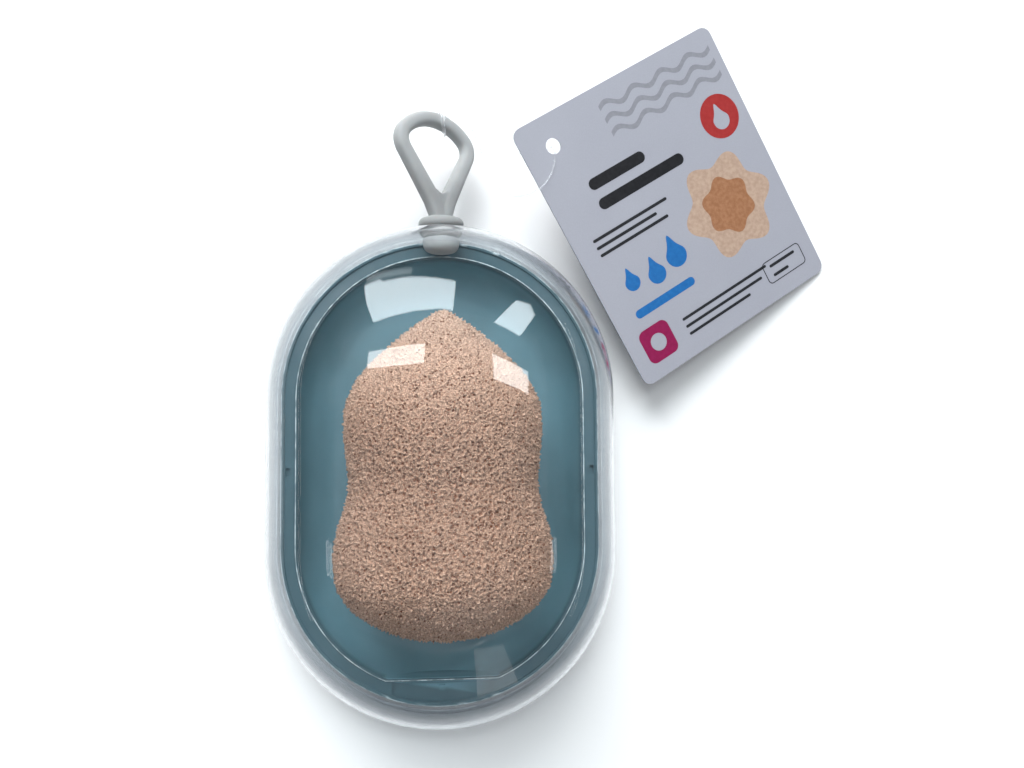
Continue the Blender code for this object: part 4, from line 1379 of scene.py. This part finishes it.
def dress_cad():
    """Better materials for the carried solids."""
    for name, material in (("tag_card", card_material()), ("loop_lock", nylon_material())):
        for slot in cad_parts[name].material_slots:
            slot.material = material


# Surroundings


def add_floor():
    """Plain pale floor."""
    corners = [(x * FLOOR_HALF, y * FLOOR_HALF, FLOOR_TOP) for x, y in ((-1, -1), (1, -1), (1, 1), (-1, 1))]
    item = add_mesh("floor", corners, [(0, 1, 2, 3)])
    nodes = material_nodes("floor_white")
    nodes.set(Base_Color=(0.90, 0.90, 0.90), Roughness=0.9, Specular_IOR_Level=0.1)
    item.data.materials.append(nodes.owner)


def add_pane(name, corners, glow, colour=WHITE):
    """Glowing pane of the room, which lights the case and shows in its lid."""
    pane = add_mesh(name, corners, [tuple(range(len(corners)))])
    nodes = material_nodes(name)
    nodes.tree.nodes.remove(nodes.tree.nodes["Principled BSDF"])
    lamp = nodes.node("Emission", Color=colour, Strength=glow)
    nodes.put(nodes.tree.nodes["Material Output"].inputs["Surface"], lamp.outputs["Emission"])
    pane.data.materials.append(nodes.owner)


def at_height(outline, height):
    """Corners of a level pane."""
    return [(x, y, height) for x, y in outline]


def add_panes():
    """Ceiling panels, windows, door, strips and rails where the lid reflects them."""
    add_pane("ceiling_left", at_height(PANEL_LEFT, PANEL_HEIGHT), PANEL_GLOW)
    add_pane("ceiling_right", at_height(PANEL_RIGHT, PANEL_HEIGHT), PANEL_GLOW)
    add_pane("window_left", at_height(WINDOW_LEFT, WINDOW_HEIGHT), WINDOW_GLOW, SKY)
    add_pane("window_right", at_height(WINDOW_RIGHT, WINDOW_HEIGHT), WINDOW_GLOW, SKY)
    add_pane("door", DOOR, DOOR_GLOW)
    add_pane("window_above", at_height(WINDOW_ABOVE, WINDOW_HEIGHT), WINDOW_ABOVE_GLOW, SKY)
    near, far = STRIP_ENDS
    for side in (-1.0, 1.0):
        for place in STRIP_PLACES:
            inner, outer = side * place, side * (place + STRIP_WIDTH)
            strip = ((inner, near), (outer, near), (outer, far), (inner, far))
            add_pane("strip", at_height(strip, WINDOW_HEIGHT), STRIP_GLOW)
        (low_x, low_z), (high_x, high_z) = RAIL_FOOT, RAIL_TOP
        rail = [(side * low_x, y, low_z) for y in (-1.0, 1.0)]
        rail += [(side * high_x, y, high_z) for y in (1.0, -1.0)]
        add_pane("rail", rail, STRIP_GLOW)


def add_fill():
    """Soft lamp that fills the shadows, and that neither gloss nor clear plastic shows."""
    data = bpy.data.lights.new("fill", "AREA")
    data.shape = "RECTANGLE"
    data.size, data.size_y = FILL_SIZE
    data.energy = FILL_GLOW * math.pi * data.size * data.size_y
    fill = new_object("fill", data)
    fill.location = FILL_PLACE
    fill.rotation_euler = fill.location.to_track_quat("Z", "Y").to_euler()
    fill.visible_glossy = False
    fill.visible_transmission = False


def add_room():
    """Dim room all round: paler ceiling, darker walls down to the horizon, softly uneven."""
    world = bpy.data.worlds.new("surround")
    bpy.context.scene.world = world
    nodes = Nodes(world, "Generated")
    split = nodes.node("SeparateXYZ", Vector=nodes.place)
    up = nodes.math("MAXIMUM", split.outputs["Z"], 0.05)
    across = nodes.math("ABSOLUTE", nodes.math("DIVIDE", split.outputs["X"], up))
    along = nodes.math("DIVIDE", split.outputs["Y"], up)
    ceiling = nodes.math("LESS_THAN", across, 0.72)
    ceiling = nodes.math("MULTIPLY", ceiling, nodes.math("LESS_THAN", along, 0.48))
    ceiling = nodes.math("MULTIPLY", ceiling, nodes.math("GREATER_THAN", along, -0.62))
    uneven = nodes.math("MULTIPLY_ADD", nodes.noise(3.5, detail=1.0), 1.6, 0.2)
    lift = nodes.math("MULTIPLY_ADD", ceiling, 0.35, 0.80)
    colour = nodes.ramp(split.outputs["Z"], (
        (0.0, (0.14, 0.15, 0.16)),
        (0.55, (0.24, 0.25, 0.27)),
        (1.0, (0.32, 0.34, 0.36)),
    ))
    strength = nodes.math("MULTIPLY", nodes.math("MULTIPLY", uneven, lift), SURROUND)
    nodes.set(Color=colour, Strength=strength)


def main():
    """Build everything, the camera and the cord first."""
    add_camera()
    add_loop()
    add_tray()
    add_lid()
    add_strap()
    add_puff()
    add_print()
    dress_cad()
    add_floor()
    add_panes()
    add_fill()
    add_room()
    bpy.context.scene.view_settings.view_transform = "Standard"


main()
